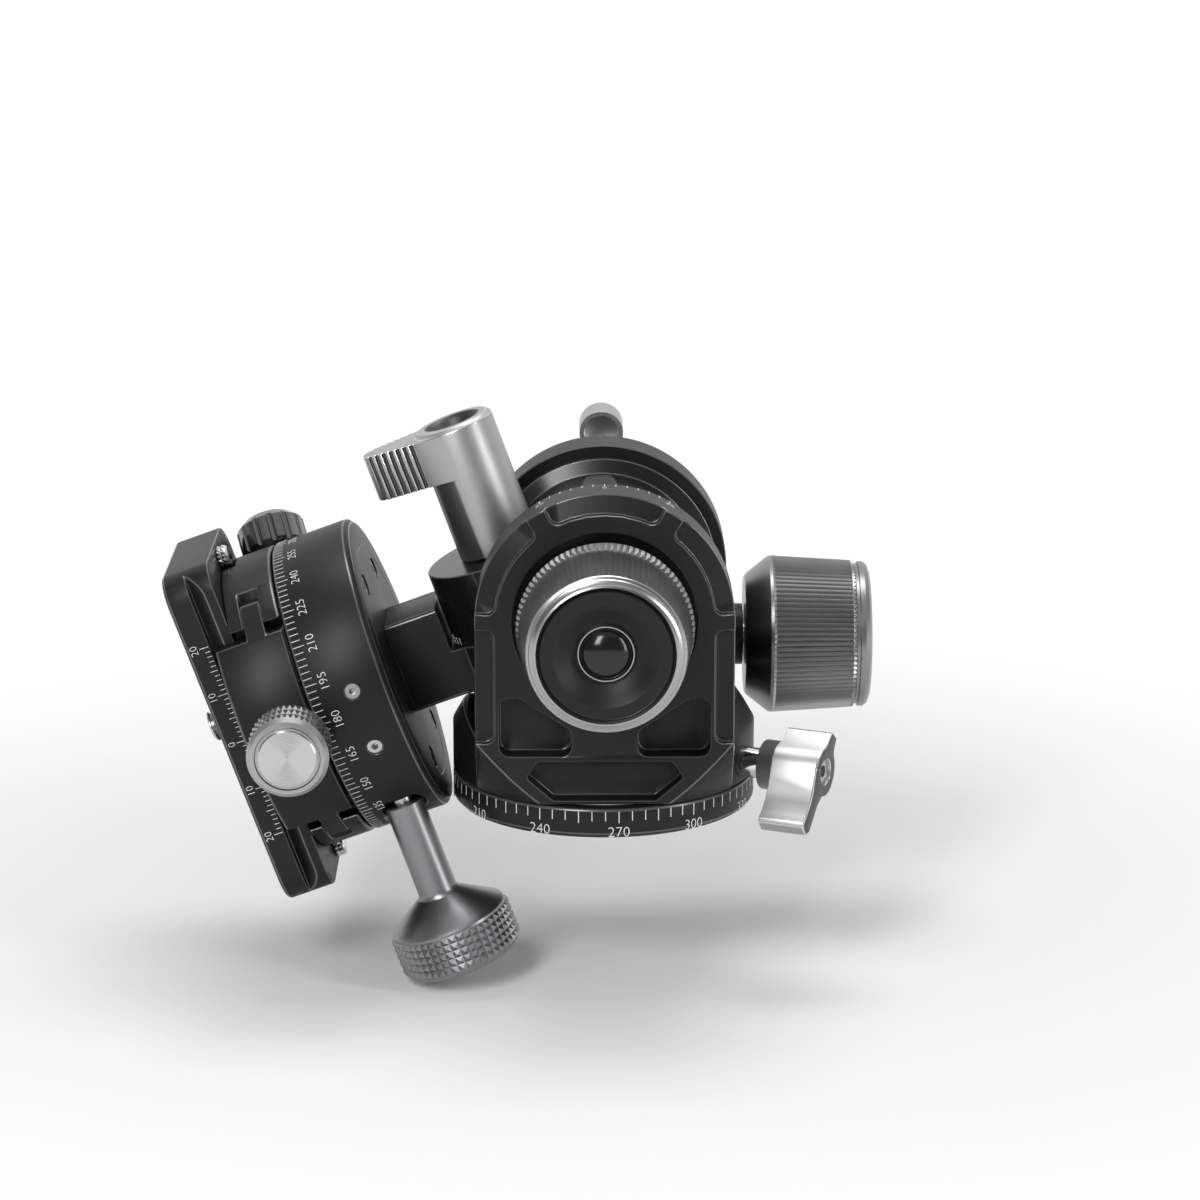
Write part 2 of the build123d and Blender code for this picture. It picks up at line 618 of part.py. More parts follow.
# ---- rear lever ----------------------------------------------------------------------------
def make_rear_lever():
    """Tilt brake lever behind the gear cover."""
    hub_start = cover_boss_end + 0.4
    hub_end = hub_start + rear_hub_length
    centre = Pos(0, 0, tilt_axis_z)
    lever = cyl_y(rear_hub_radius, hub_start, hub_end)
    tip_start = hub_start + 12.6
    tip_end = tip_start + rear_tip_length
    middle = (hub_start + hub_end) / 2
    slope_y = (tip_start + tip_end) / 2 - middle
    neck_length = hypot(slope_y, rear_tip_height)
    lean = degrees(atan2(slope_y, rear_tip_height))
    lever += Pos(0, middle, 0) * Rot(-lean, 0, 0) * cyl_z(rear_neck_radius, 0, neck_length)
    lever += cyl_y(rear_tip_radius, tip_start, tip_end, 0, rear_tip_height)
    lever -= cyl_y(rear_tip_radius - 1.0, tip_start, tip_start + 0.8, 0, rear_tip_height)
    lever += cyl_y(rear_screw_radius, rear_face + brake_pad_thickness + 0.05, hub_start)
    save("rear_lever", centre * lever)
    pad = cyl_y(lock_pad_radius, rear_face, rear_face + brake_pad_thickness)
    save("tilt_brake_pad", centre * pad)


# ---- arm, hub lever ------------------------------------------------------------------------
arm_screw_spots = ((-6, -5), (6, -5), (-6, 5), (6, 5))


def make_arm():
    """The arm that swings on the hub pin, with its bush."""
    ring_end = 0.0
    ring = cyl_x(hub_disc_radius - 0.1, -arm_side, ring_end, 0, hub_z)
    ring += block(-arm_side, ring_end, -arm_half_width, arm_half_width, hub_z, arm_step)
    body = block(-arm_side, arm_side, -arm_half_width, arm_half_width, arm_step, arm_top)
    arm = ring + chamfer(body.edges().filter_by(Axis.Z), 0.5)
    arm -= cyl_x(arm_bush_radius, -arm_side, ring_end, 0, hub_z)
    screws = []
    head_top = arm_top + case_floor_thickness
    for x, y in arm_screw_spots:
        arm -= cyl_z(1.2, arm_top - 6.5, arm_top, x, y)
        head = cyl_z(2.2, head_top - 1.4, head_top - 0.1, x, y)
        screws.append(head - cyl_z(1.0, head_top - 0.9, head_top, x, y)
                      + cyl_z(1.2, arm_top - 6.0, head_top - 1.4, x, y))
    save("arm_block", tilted(arm))
    save("arm_screws", *[tilted(screw) for screw in screws])
    bush = cyl_x(arm_bush_radius, -arm_side + 0.1, -0.1, 0, hub_z)
    save("arm_bush", tilted(bush - cyl_x(hub_pin_radius + 0.05, -arm_side, 0, 0, hub_z)))


def make_hub_lever():
    """Lever that clamps the second axis."""
    start = lever_cheek_end + 0.3
    barrel = cyl_x(hub_lever_radius, start, hub_lever_end - 0.8)
    barrel += along_x(turned((0, hub_lever_end - 0.8), (hub_lever_radius, hub_lever_end - 0.8),
                             (hub_lever_radius - 0.8, hub_lever_end), (0, hub_lever_end)))
    grip_start = hub_lever_end - 10.0
    grip_end = hub_lever_end - 0.8
    lean = acos((hub_lever_radius - hub_lever_tip) / hub_lever_reach)
    outline = []
    for side in (1, -1):
        pair = [(side * hub_lever_radius * sin(lean), hub_lever_radius * cos(lean)),
                (side * hub_lever_tip * sin(lean), hub_lever_reach + hub_lever_tip * cos(lean))]
        outline.extend(pair if side == 1 else pair[::-1])
    web = extrude(make_face(Polyline(*[(grip_start, y, z) for y, z in outline], close=True)),
                  grip_end - grip_start, dir=(1, 0, 0))
    grip = web + cyl_x(hub_lever_tip, grip_start, grip_end, 0, hub_lever_reach)
    groove_count = 7
    for side in (-1, 1):
        for index in range(groove_count):
            z = hub_lever_radius + 0.6 + index * 1.45
            share = (z - hub_lever_radius * cos(lean)) / (hub_lever_reach - hub_lever_radius * cos(lean)
                                                          + hub_lever_tip * cos(lean))
            flat = hub_lever_radius * sin(lean) + share * (hub_lever_tip - hub_lever_radius) * sin(lean)
            y = side * (flat if z < hub_lever_reach + 1 else
                        sqrt(max(hub_lever_tip ** 2 - (z - hub_lever_reach) ** 2, 0.3)))
            grip -= cyl_x(0.45, grip_start - 1, grip_end + 1, y, z)
    lever = barrel + grip
    seat = hub_lever_end - 4.5
    lever -= cyl_x(lever_stud_radius, start, seat)
    lever -= cyl_x(2.0, seat, hub_lever_end)
    lever -= along_x(turned((0, hub_lever_end - 3.0), (3.6, hub_lever_end - 3.0),
                            (5.6, hub_lever_end), (0, hub_lever_end)))
    place = Pos(0, 0, hub_z)
    save("hub_lever", tilted(place * lever))
    head = cyl_x(3.5, hub_lever_end - 3.0, hub_lever_end - 1.6)
    head -= cyl_x(1.6, hub_lever_end - 2.4, hub_lever_end)
    head += cyl_x(1.95, seat, hub_lever_end - 3.0)
    save("hub_lever_screw", tilted(place * head))


# ---- panning case and its worm drive -------------------------------------------------------
pan_center_distance = pan_module * pan_teeth / 2 + pan_worm_radius
case_cavity = pan_module * (pan_teeth / 2 + addendum) + 1.0
case_ceiling = pan_worm_z + 3.0
case_floor_top = arm_top + case_floor_thickness
pan_tunnel = pan_worm_radius + addendum * pan_module + 0.6
pan_shaft_radius = 2.0
pan_reach = worm_turns * pi * pan_module / 2
pan_bush_end = 1.6 - stem_start
pan_bush_start = -9.0
pan_bush_radius = 4.2
stem_pocket = stem_radius + 0.5
pan_shaft_end = stem_start + 11.4
case_screw_circle = case_floor_radius - 3.5
case_screw_angles = (-25, 35, 90, 145, 205)
set_screw_spots = (4.5, -7.6)
set_screw_z = 49.8


def make_pan_case():
    """Round case that holds the panning worm, with floor, bushes and screws."""
    case = turned((0, arm_top), (drum_case_radius - 1.0, arm_top), (drum_case_radius, arm_top + 1.0),
                  (drum_case_radius, case_top - 0.3), (drum_case_radius - 0.3, case_top), (0, case_top))
    case -= cyl_z(case_floor_radius, arm_top, case_floor_top)
    case -= cyl_z(case_cavity, case_floor_top, case_ceiling)
    case -= cyl_z(spindle_neck + 2.0, case_ceiling, case_top)
    case -= cyl_x(pan_tunnel, pan_bush_start, pan_reach + 1.0, stem_y, pan_worm_z)
    case -= cyl_x(pan_bush_radius, pan_bush_end, pan_bush_start, stem_y, pan_worm_z)
    case -= cyl_x(pan_shaft_radius + 0.05, pan_reach + 1.0, pan_reach + 6.5, stem_y, pan_worm_z)
    case -= cyl_x(stem_pocket, -drum_case_radius, pan_bush_end, stem_y, pan_worm_z)
    floor = cyl_z(case_floor_radius - 0.02, arm_top, case_floor_top)
    floor -= cyl_x(pan_tunnel, pan_bush_start, pan_reach + 1.0, stem_y, pan_worm_z)
    floor -= cyl_x(stem_pocket, -drum_case_radius, pan_bush_end, stem_y, pan_worm_z)
    floor -= cyl_x(pan_bush_radius, pan_bush_end, pan_bush_start, stem_y, pan_worm_z)
    screws = []
    for angle in case_screw_angles:
        x = case_screw_circle * cos(radians(angle))
        y = case_screw_circle * sin(radians(angle))
        case -= cyl_z(1.2, case_floor_top, case_floor_top + 6, x, y)
        floor -= cyl_z(1.25, arm_top, case_floor_top, x, y) + cyl_z(2.3, arm_top, arm_top + 1.6, x, y)
        head = cyl_z(2.2, arm_top + 0.3, arm_top + 1.6, x, y) - cyl_z(1.0, arm_top, arm_top + 1.1, x, y)
        screws.append(head + cyl_z(1.2, arm_top + 1.6, case_floor_top + 5.5, x, y))
    head_top = case_floor_top
    for x, y in arm_screw_spots:
        floor -= cyl_z(1.25, arm_top, head_top, x, y) + cyl_z(2.3, head_top - 1.4, head_top, x, y)
    set_screws = []
    for x in set_screw_spots:
        turn = degrees(atan2(-sqrt(drum_case_radius ** 2 - x ** 2), x))
        hole = cyl_x(1.5, drum_case_radius - 4.0, drum_case_radius + 1, 0, set_screw_z)
        case -= radial(turn, hole)
        screw = cyl_x(1.45, drum_case_radius - 4.0, drum_case_radius - 0.4, 0, set_screw_z)
        screw -= cyl_x(0.7, drum_case_radius - 1.8, drum_case_radius, 0, set_screw_z)
        set_screws.append(radial(turn, screw))
    save("pan_case", tilted(case))
    save("pan_case_floor", tilted(floor))
    save("pan_case_screws", *[tilted(screw) for screw in screws])
    save("pan_set_screws", *[tilted(screw) for screw in set_screws])
    bush = cyl_z(spindle_neck + 1.98, case_ceiling + 0.1, case_top - 0.1)
    save("spindle_bush", tilted(bush - cyl_z(spindle_neck + 0.04, case_ceiling, case_top)))
    bush = cyl_x(pan_bush_radius - 0.02, pan_bush_end, pan_bush_start - 0.1, stem_y, pan_worm_z)
    bush -= cyl_x(pan_shaft_radius + screw_slip, pan_bush_end, pan_bush_start, stem_y, pan_worm_z)
    save("pan_worm_bush", tilted(bush))
    ring = cyl_z(drum_case_radius - 3.0, case_top, clamp_bottom)
    ring -= cyl_z(spindle_neck + 0.5, case_top, clamp_bottom)
    save("pan_slide_ring", tilted(ring))


def make_pan_drive():
    """Panning worm with its long-stemmed knob, and the wheel and spindle it turns."""
    place = Pos(0, stem_y, pan_worm_z)
    shaft = place * along_x(Rot(0, 0, 90) * worm(pan_module, pan_worm_radius))
    shaft += cyl_x(pan_shaft_radius, pan_reach, pan_reach + 6.0, stem_y, pan_worm_z)
    shaft += cyl_x(pan_shaft_radius, -pan_shaft_end, -pan_reach, stem_y, pan_worm_z)
    save("pan_worm", tilted(shaft))

    knob = turned((0, stem_start), (stem_radius, stem_start), (stem_radius, stem_end),
                  (stem_knob_radius - 0.8, stem_knob_start), (stem_knob_radius, stem_knob_start + 0.5),
                  (stem_knob_radius, stem_knob_end - 1.0), (stem_knob_radius - 1.0, stem_knob_end),
                  (0, stem_knob_end))
    knob -= cyl_z(pan_shaft_radius, stem_start, pan_shaft_end)
    save("pan_stem_knob", tilted(place * Rot(0, -90, 0) * knob))

    wheel = worm_wheel(pan_module, pan_teeth, pan_worm_radius, pan_wheel_width, wheel_seat, 270)
    save("pan_worm_wheel", tilted(Pos(0, 0, pan_worm_z) * wheel))
    spindle = cyl_z(wheel_seat, pan_worm_z - pan_wheel_width / 2, pan_worm_z + pan_wheel_width / 2)
    spindle += cyl_z(spindle_neck, pan_worm_z + pan_wheel_width / 2, clamp_bottom - 0.1)
    spindle += cyl_z(spindle_drum, clamp_bottom - 0.1, spindle_top)
    spindle -= cyl_z(clamp_bolt_radius, bolt_hole_low, spindle_top)
    save("pan_spindle", tilted(spindle))
    bolt_top = bolt_head_low + bolt_head_height
    bolt = cyl_z(clamp_bolt_radius, bolt_hole_low + 0.2, bolt_head_low)
    bolt += cyl_z(bolt_head, bolt_head_low, bolt_top)
    bolt -= cyl_z(bolt_hex, bolt_head_low + 0.6, bolt_top)
    save("clamp_bolt", tilted(bolt))


wheel_seat = 8.5
spindle_top = clamp_bottom + 3.7
clamp_bolt_radius = 4.0
bolt_hole_low = spindle_top - 8.6
bolt_head = 7.0
bolt_head_height = 2.6
bolt_hex = 2.5
clamp_web_low = spindle_top + 0.1
clamp_web_high = clamp_web_low + 2.75
bolt_head_low = clamp_web_high + 0.05


# ---- clamp ---------------------------------------------------------------------------------
guide_pin_x = 15.0
spring_x = 9.5
pin_radius = 1.5
guide_pin_z = 64.2
spring_pocket = 2.0
pin_seat = jaw_split - 9.3
pin_end = drum_case_radius - 8.0
spring_seat = jaw_split - 4.8
spring_end = jaw_split + 1.8
stop_x = plate_length / 2 - 3.35
stop_radius = 2.7
plate_play = 2.5
stop_low = clamp_floor - 2.2
dovetail_low = clamp_floor + 0.2


def dovetail(half, low, lip, top, length):
    """The plate's dovetail, or the room for it, along X."""
    slope_top = half - (top - low - lip)
    points = ((-half, low), (half, low), (half, low + lip), (slope_top, top), (-slope_top, top),
              (-half, low + lip))
    face = make_face(Polyline(*[(-length / 2, y, z) for y, z in points], close=True))
    return extrude(face, length, dir=(1, 0, 0))


def make_clamp():
    """Clamp body with a fixed jaw, the moving jaw with its screw, and the panning lock."""
    disc = turned((0, clamp_bottom), (drum_case_radius - 0.3, clamp_bottom),
                  (drum_case_radius, clamp_bottom + 0.3), (drum_case_radius, jaw_top - 0.3),
                  (drum_case_radius - 0.3, jaw_top), (0, jaw_top))
    room = dovetail(dovetail_half + dovetail_gap, clamp_floor, dovetail_lip + 0.3, jaw_top + 0.01,
                    beyond)
    low_body = block(-beyond, beyond, -beyond, beyond, clamp_bottom, clamp_floor)
    fixed_jaw = block(-fixed_jaw_half, fixed_jaw_half, 0, beyond, clamp_floor, jaw_top)
    body = (disc & (low_body + fixed_jaw)) - room
    recess = block(-jaw_recess_half, jaw_recess_half, -beyond, -jaw_split + 0.1, 0, beyond)
    slot = block(-beyond, beyond, -beyond, -tongue_split, jaw_tongue_bottom - 0.1, jaw_tongue_top + 0.1)
    body -= recess + slot
    body -= cyl_z(spindle_drum + 0.3, clamp_bottom, clamp_web_low)
    body -= cyl_z(clamp_bolt_radius + 0.2, clamp_web_low, clamp_web_high)
    body -= cyl_z(bolt_head + 0.3, clamp_web_high, clamp_floor)
    body -= cyl_y(jaw_screw_radius + screw_slip, -jaw_split, -pin_seat, 0, jaw_screw_z)
    notch_start = stop_x - stop_radius - plate_play - 0.3
    for side in (-1, 1):
        low, high = sorted((side * notch_start, side * beyond))
        body -= block(low, high, -stop_radius - 0.4, stop_radius + 0.4, stop_low - 0.4, clamp_floor)
        body -= cyl_y(pin_radius, -jaw_split, -pin_seat, side * guide_pin_x, guide_pin_z)
        body -= cyl_y(spring_pocket, -jaw_split, -spring_seat, side * spring_x, guide_pin_z)
    lock_bore = cyl_x(lock_screw_radius + screw_slip, spindle_drum - 2, drum_case_radius + 1, 0, pan_lock_z)
    body -= radial(pan_lock_angle, lock_bore)
    save("clamp_body", tilted(body))

    jaw_space = block(-jaw_half, jaw_half, -beyond, -jaw_split, clamp_bottom + 0.2, jaw_top)
    tongue = block(-jaw_tongue_half, jaw_tongue_half, -beyond, -tongue_split - 0.1,
                   jaw_tongue_bottom, jaw_tongue_top)
    jaw = (disc & (jaw_space + tongue)) - room
    jaw -= cyl_y(jaw_screw_radius + screw_slip, -beyond, 0, 0, jaw_screw_z)
    for side in (-1, 1):
        jaw -= cyl_y(pin_radius + screw_slip, -pin_end - 3.0, 0, side * guide_pin_x, guide_pin_z)
        jaw -= cyl_y(spring_pocket, -spring_end - 0.4, 0, side * spring_x, guide_pin_z)
    save("clamp_jaw", tilted(jaw))

    pins = []
    for side in (-1, 1):
        pins.append(tilted(cyl_y(pin_radius, -pin_end, -pin_seat - 0.2, side * guide_pin_x, guide_pin_z)))
    save("jaw_guide_pins", *pins)
    wire = 0.3
    coil_radius = 1.4
    spring_length = spring_end - spring_seat - 0.4
    coils = []
    for side in (-1, 1):
        path = Helix(spring_length / 5, spring_length, coil_radius)
        ring = Plane(origin=path @ 0, z_dir=path % 0) * Circle(wire)
        coil = sweep(ring, path=path, is_frenet=True)
        coils.append(Pos(side * spring_x, -spring_end, guide_pin_z) * along_y(coil))
    save("jaw_springs", *[tilted(coil) for coil in coils])

    neck_start = drum_case_radius + 0.2
    count = 22
    grip = ridged(jaw_knob_radius, jaw_knob_radius - 0.8, count, jaw_knob_start, jaw_knob_end - 0.6)
    grip &= turned((0, jaw_knob_start), (jaw_knob_radius - 0.6, jaw_knob_start),
                   (jaw_knob_radius, jaw_knob_start + 0.6), (jaw_knob_radius, jaw_knob_end - 1.4),
                   (jaw_knob_radius - 0.8, jaw_knob_end - 0.6), (0, jaw_knob_end - 0.6))
    knob = grip + turned((0, neck_start), (4.5, neck_start), (5.2, jaw_knob_start), (0, jaw_knob_start))
    knob += cyl_z(5.9, jaw_knob_end - 0.7, jaw_knob_end - 0.3)
    knob += cyl_z(jaw_screw_radius, pin_seat + 0.5, neck_start)
    facing = Pos(0, 0, jaw_screw_z) * Rot(90, 0, 0)
    save("jaw_knob", tilted(facing * knob))
    save("jaw_knob_disc", tilted(facing * turned((0, jaw_knob_end - 0.3), (5.6, jaw_knob_end - 0.3),
                                                 (5.4, jaw_knob_end), (0, jaw_knob_end))))


lock_screw_radius = 1.5
lock_shoe_radius = 1.4
lock_shoe_end = 18.0


def make_pan_lock():
    """Shoe, screw and fluted knob that lock free panning."""
    shoe = cyl_x(lock_shoe_radius, 0, lock_shoe_end, 0, pan_lock_z) - cyl_z(spindle_drum + 0.1, 50, 70)
    save("pan_lock_shoe", tilted(radial(pan_lock_angle, shoe)))
    flutes = 14
    knob = turned((0, pan_lock_start), (pan_lock_radius - 1.0, pan_lock_start),
                  (pan_lock_radius, pan_lock_start + 1.2), (pan_lock_radius, pan_lock_end - 1.6),
                  (pan_lock_radius - 1.6, pan_lock_end), (0, pan_lock_end))
    for index in range(flutes):
        turn = 2 * pi * index / flutes
        reach = pan_lock_radius + 0.25
        knob -= cyl_z(0.75, pan_lock_start - 1, pan_lock_end + 1, reach * cos(turn), reach * sin(turn))
    screw_seat = pan_lock_start + 4.0
    knob -= cyl_z(lock_screw_radius, pan_lock_start, screw_seat)
    screw = cyl_z(lock_screw_radius, lock_shoe_end, screw_seat)
    pieces = [Pos(0, 0, pan_lock_z) * along_x(piece) for piece in (knob, screw)]
    save("pan_lock_knob", *[tilted(radial(pan_lock_angle, piece)) for piece in pieces])


# ---- camera plate --------------------------------------------------------------------------
camera_screw_radius = 3.175
camera_neck_radius = 2.7
camera_head_radius = 7.0
camera_head_low = dovetail_low + 0.8
camera_head_high = camera_head_low + 3.5
pad_low = plate_top - 0.7
pad_top = plate_top + 0.2
camera_screw_top = pad_top + 4.2


def rounded_slab(length, width, corner, low, high):
    """A flat slab with round corners."""
    face = make_face(RectangleRounded(length, width, corner).edges())
    return Pos(0, 0, low) * extrude(face, high - low, dir=(0, 0, 1))


def make_plate():
    """Quick-release plate with its pad, camera screw and stop screws."""
    slab = rounded_slab(plate_length, plate_width, plate_corner, plate_under, plate_top)
    slab = chamfer(slab.edges().group_by(Axis.Z)[-1], 0.5)
    rail = dovetail(dovetail_half, dovetail_low, dovetail_lip, plate_under + 0.01, plate_length)
    rail &= rounded_slab(plate_length, plate_width, plate_corner, dovetail_low, plate_under + 0.01)
    plate = slab + rail
    plate -= rounded_slab(plate_length - 5, plate_width - 5, plate_corner - 2, pad_low, plate_top)
    plate -= cyl_z(camera_head_radius + 0.3, dovetail_low, camera_head_high + 0.1)
    plate -= cyl_z(camera_screw_radius + 0.15, camera_head_high, plate_top)
    pad = rounded_slab(plate_length - 5.1, plate_width - 5.1, plate_corner - 2, pad_low, pad_top)
    pad -= cyl_z(camera_screw_radius + 1.0, pad_low, pad_top)
    screws = []
    for side in (-1, 1):
        plate -= cyl_z(1.3, dovetail_low, dovetail_low + 4.5, side * stop_x, 0)
        head = cyl_z(stop_radius, stop_low, dovetail_low, side * stop_x, 0)
        head -= cyl_z(1.3, stop_low, stop_low + 1.8, side * stop_x, 0)
        screws.append(head + cyl_z(1.3, dovetail_low, dovetail_low + 4.4, side * stop_x, 0))
    save("camera_plate", tilted(plate))
    save("plate_pad", tilted(pad))
    save("plate_stop_screws", *[tilted(screw) for screw in screws])
    screw = turned((0, camera_head_low), (camera_head_radius, camera_head_low),
                   (camera_head_radius, camera_head_high), (camera_neck_radius, camera_head_high),
                   (camera_neck_radius, pad_top + 0.1), (camera_screw_radius, pad_top + 0.1),
                   (camera_screw_radius, camera_screw_top - 0.5),
                   (camera_screw_radius - 0.5, camera_screw_top), (0, camera_screw_top))
    screw -= block(-camera_head_radius, camera_head_radius, -0.8, 0.8, camera_head_low, camera_head_low + 1.2)
    save("camera_screw", tilted(screw))


if __name__ == "__main__":
    make_base()
    make_frame()
    make_tilt_drive()
    make_wing_lock()
    make_drum()
    make_front_knob()
    make_rear_lever()
    make_arm()
    make_hub_lever()
    make_pan_case()
    make_pan_drive()
    make_clamp()
    make_pan_lock()
    make_plate()
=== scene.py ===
# %% [markdown]
# # Dressing a geared tripod head
#
# The head comes to us as sixty fitted solids: a fork, a drum that tilts in it, an arm, a panning
# case, a clamp with its plate, and the knobs and levers that move them. Their shapes are right but
# bare. In this lesson we give every surface the finish of the real thing, and model what a drawing
# leaves out: knurling, rows of small pyramids, broken edges, engraved dials and screw threads.
#
# We load the solids first and keep their box, because nothing we add may reach outside it.

import json
from math import acos, atan2, cos, pi, radians, sin, tau

import bmesh
import bpy
from mathutils import Matrix, Vector


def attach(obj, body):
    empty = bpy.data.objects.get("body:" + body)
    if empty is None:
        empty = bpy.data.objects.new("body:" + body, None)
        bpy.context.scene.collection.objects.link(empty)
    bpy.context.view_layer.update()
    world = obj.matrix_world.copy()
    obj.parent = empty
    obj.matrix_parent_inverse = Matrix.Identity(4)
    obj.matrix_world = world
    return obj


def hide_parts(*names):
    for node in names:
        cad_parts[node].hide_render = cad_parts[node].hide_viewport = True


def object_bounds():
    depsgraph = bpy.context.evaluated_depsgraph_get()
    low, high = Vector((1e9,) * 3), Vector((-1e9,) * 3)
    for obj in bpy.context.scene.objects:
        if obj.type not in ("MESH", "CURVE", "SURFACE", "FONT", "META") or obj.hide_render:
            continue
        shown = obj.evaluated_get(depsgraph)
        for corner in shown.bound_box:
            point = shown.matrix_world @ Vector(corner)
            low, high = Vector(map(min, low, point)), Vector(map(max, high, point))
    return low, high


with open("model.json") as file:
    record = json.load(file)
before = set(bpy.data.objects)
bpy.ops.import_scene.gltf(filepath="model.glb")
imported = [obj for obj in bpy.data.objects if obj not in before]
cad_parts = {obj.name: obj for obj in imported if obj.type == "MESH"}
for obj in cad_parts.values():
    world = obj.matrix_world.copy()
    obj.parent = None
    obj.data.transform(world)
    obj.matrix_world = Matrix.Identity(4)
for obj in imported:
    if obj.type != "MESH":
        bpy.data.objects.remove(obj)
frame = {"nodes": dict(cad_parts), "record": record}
cad_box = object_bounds()
nodes = frame["nodes"]

# %% [markdown]
# ## Where things are
#
# All lengths below are written in millimetres and multiplied by `mm`, because Blender counts in
# metres. The tilting pieces were drawn upright and then swung 110 degrees to the left about the
# tilt axis. We build the same swing once, as a matrix, so that a knob on the clamp can be modelled
# standing up straight and put in its place at the end.

# %% Units and the tilting frame
mm = 0.001
tilt_axis_z = 42.5
stored_tilt = -110.0
upright = Matrix.Identity(4)
swung = Matrix.Translation((0, 0, tilt_axis_z * mm)) @ Matrix.Rotation(radians(stored_tilt), 4, "Y")


def at(x, y, z):
    """Move to a point given in millimetres."""
    return Matrix.Translation((x * mm, y * mm, z * mm))


def turn(degrees_, axis):
    """Turn about an axis through the origin."""
    return Matrix.Rotation(radians(degrees_), 4, axis)


print("the clamp's own Z axis points to", [round(v, 3) for v in swung.to_3x3() @ Vector((0, 0, 1))])

# %% [markdown]
# ## Writing shader sums as sums
#
# A material is a tree of nodes. Wiring Math nodes by hand hides what they compute, so we wrap a
# socket in a small class whose `+` and `*` each add one Math node. The reflected forms let us write
# `0.08 * grain` as well. Any other node comes from one method that takes its type, its settings and
# what goes into its sockets.

# %% A socket that can be added and multiplied
class Number:
    """A number that varies over the surface."""

    def __init__(self, finish, socket):
        self.finish = finish
        self.socket = socket

    def math(self, operation, *terms):
        return self.finish.node("ShaderNodeMath", {"operation": operation}, dict(enumerate(terms)))

    def __add__(self, other):
        return self.math("ADD", self, other)

    def __mul__(self, other):
        return self.math("MULTIPLY", self, other)

    __radd__ = __add__
    __rmul__ = __mul__


class Finish:
    """One material, built on a Principled shader."""

    def __init__(self, name, **constants):
        self.material = bpy.data.materials.new(name)
        self.material.use_nodes = True
        self.tree = self.material.node_tree
        self.shader = self.tree.nodes["Principled BSDF"]
        for socket, value in constants.items():
            self.shader.inputs[socket.replace("_", " ")].default_value = value

    def node(self, kind, settings, inputs, output=0):
        """Add a node: its settings first, then the values or links of its sockets."""
        made = self.tree.nodes.new(kind)
        for name, value in settings.items():
            setattr(made, name, value)
        for name, value in inputs.items():
            if isinstance(value, Number):
                self.tree.links.new(value.socket, made.inputs[name])
            else:
                made.inputs[name].default_value = value
        return Number(self, made.outputs[output])

    def place(self, matrix=upright):
        """Object coordinates, seen from a piece's own centre and direction."""
        here = self.node("ShaderNodeTexCoord", {}, {}, "Object")
        turned_by = matrix.to_euler()
        return self.node("ShaderNodeMapping", {"vector_type": "TEXTURE"},
                         {"Vector": here, "Location": matrix.to_translation(), "Rotation": turned_by})

    def noise(self, where, scale, detail=3.0):
        return self.node("ShaderNodeTexNoise", {}, {"Vector": where, "Scale": scale, "Detail": detail}, "Fac")

    def mix(self, factor, first, second):
        """Blend two colours."""
        colours = {0: factor, 6: first, 7: second}
        return self.node("ShaderNodeMix", {"data_type": "RGBA"}, colours, 2)

    def feed(self, **inputs):
        """Link varying values to the shader's sockets."""
        for name, value in inputs.items():
            self.tree.links.new(value.socket, self.shader.inputs[name.replace("_", " ")])
        return self.material

    def bump(self, height, strength, distance):
        """Turn a height into a surface normal."""
        return self.node("ShaderNodeBump", {}, {"Height": height, "Strength": strength, "Distance": distance},
                         "Normal")


def grey(level, tint=1.0):
    """A near-neutral colour; a tint over 1 makes it a little bluer."""
    return (level, level, level * tint, 1.0)


print("shader helpers ready")

# %% [markdown]
# ## Black anodised aluminium
#
# Most of the head is machined aluminium, blasted with fine grit and dyed black. The grit leaves a
# grain about a fifth of a millimetre across, which spreads reflections, and handling leaves faint
# smoother patches. Fine noise drives a shallow bump and part of the roughness; broad noise shifts
# the colour and the rest of the roughness. The narrow chamfers on the broken edges get a finish of
# their own, smoother and paler: the paler colour is a painted highlight along the edges.

# %% The black finishes
def black_finish(name, dark, light, smooth, rough, grain_height, sheen=0.3):
    """Dyed aluminium with a fine grain and faint smoother patches."""
    finish = Finish(name, Metallic=0.0, Specular_IOR_Level=sheen)
    here = finish.place()
    grain = finish.noise(here, 5200.0, 2.0)
    patches = finish.noise(here, 55.0, 3.0)
    colour = finish.mix(patches, grey(dark, 1.06), grey(light, 1.06))
    roughness = smooth + (rough - smooth) * patches + 0.08 * grain
    normal = finish.bump(grain, 0.35, grain_height * mm)
    return finish.feed(Base_Color=colour, Roughness=roughness, Normal=normal)


satin_black = black_finish("satin_black", 0.006, 0.011, 0.34, 0.44, 0.012)
drum_black = black_finish("drum_black", 0.005, 0.009, 0.16, 0.26, 0.003, 0.5)
# Chamfer finish: its paler colour is a painted highlight along the black edges.
black_edge_painted_highlight = black_finish("black_edge_painted_highlight", 0.05, 0.09, 0.16, 0.26, 0.003, 0.9)
gloss_black = black_finish("gloss_black", 0.005, 0.008, 0.10, 0.16, 0.001, 0.5)
dish_black = black_finish("dish_black", 0.007, 0.011, 0.36, 0.46, 0.006)
print("black finishes:", satin_black.name, black_edge_painted_highlight.name, gloss_black.name, dish_black.name)

# %% [markdown]
# ## Bright metals
#
# Turned metal keeps the spiral of the tool: very fine rings round the axis it was turned on. Rings
# are a function of the distance from that axis, so we read coordinates in the piece's own frame and
# feed stretched noise with the radius alone. Plated pieces are smooth mirrors with the faintest
# cloud. Levers are cast or milled, tumbled and clear anodised, which gives a soft even sheen.

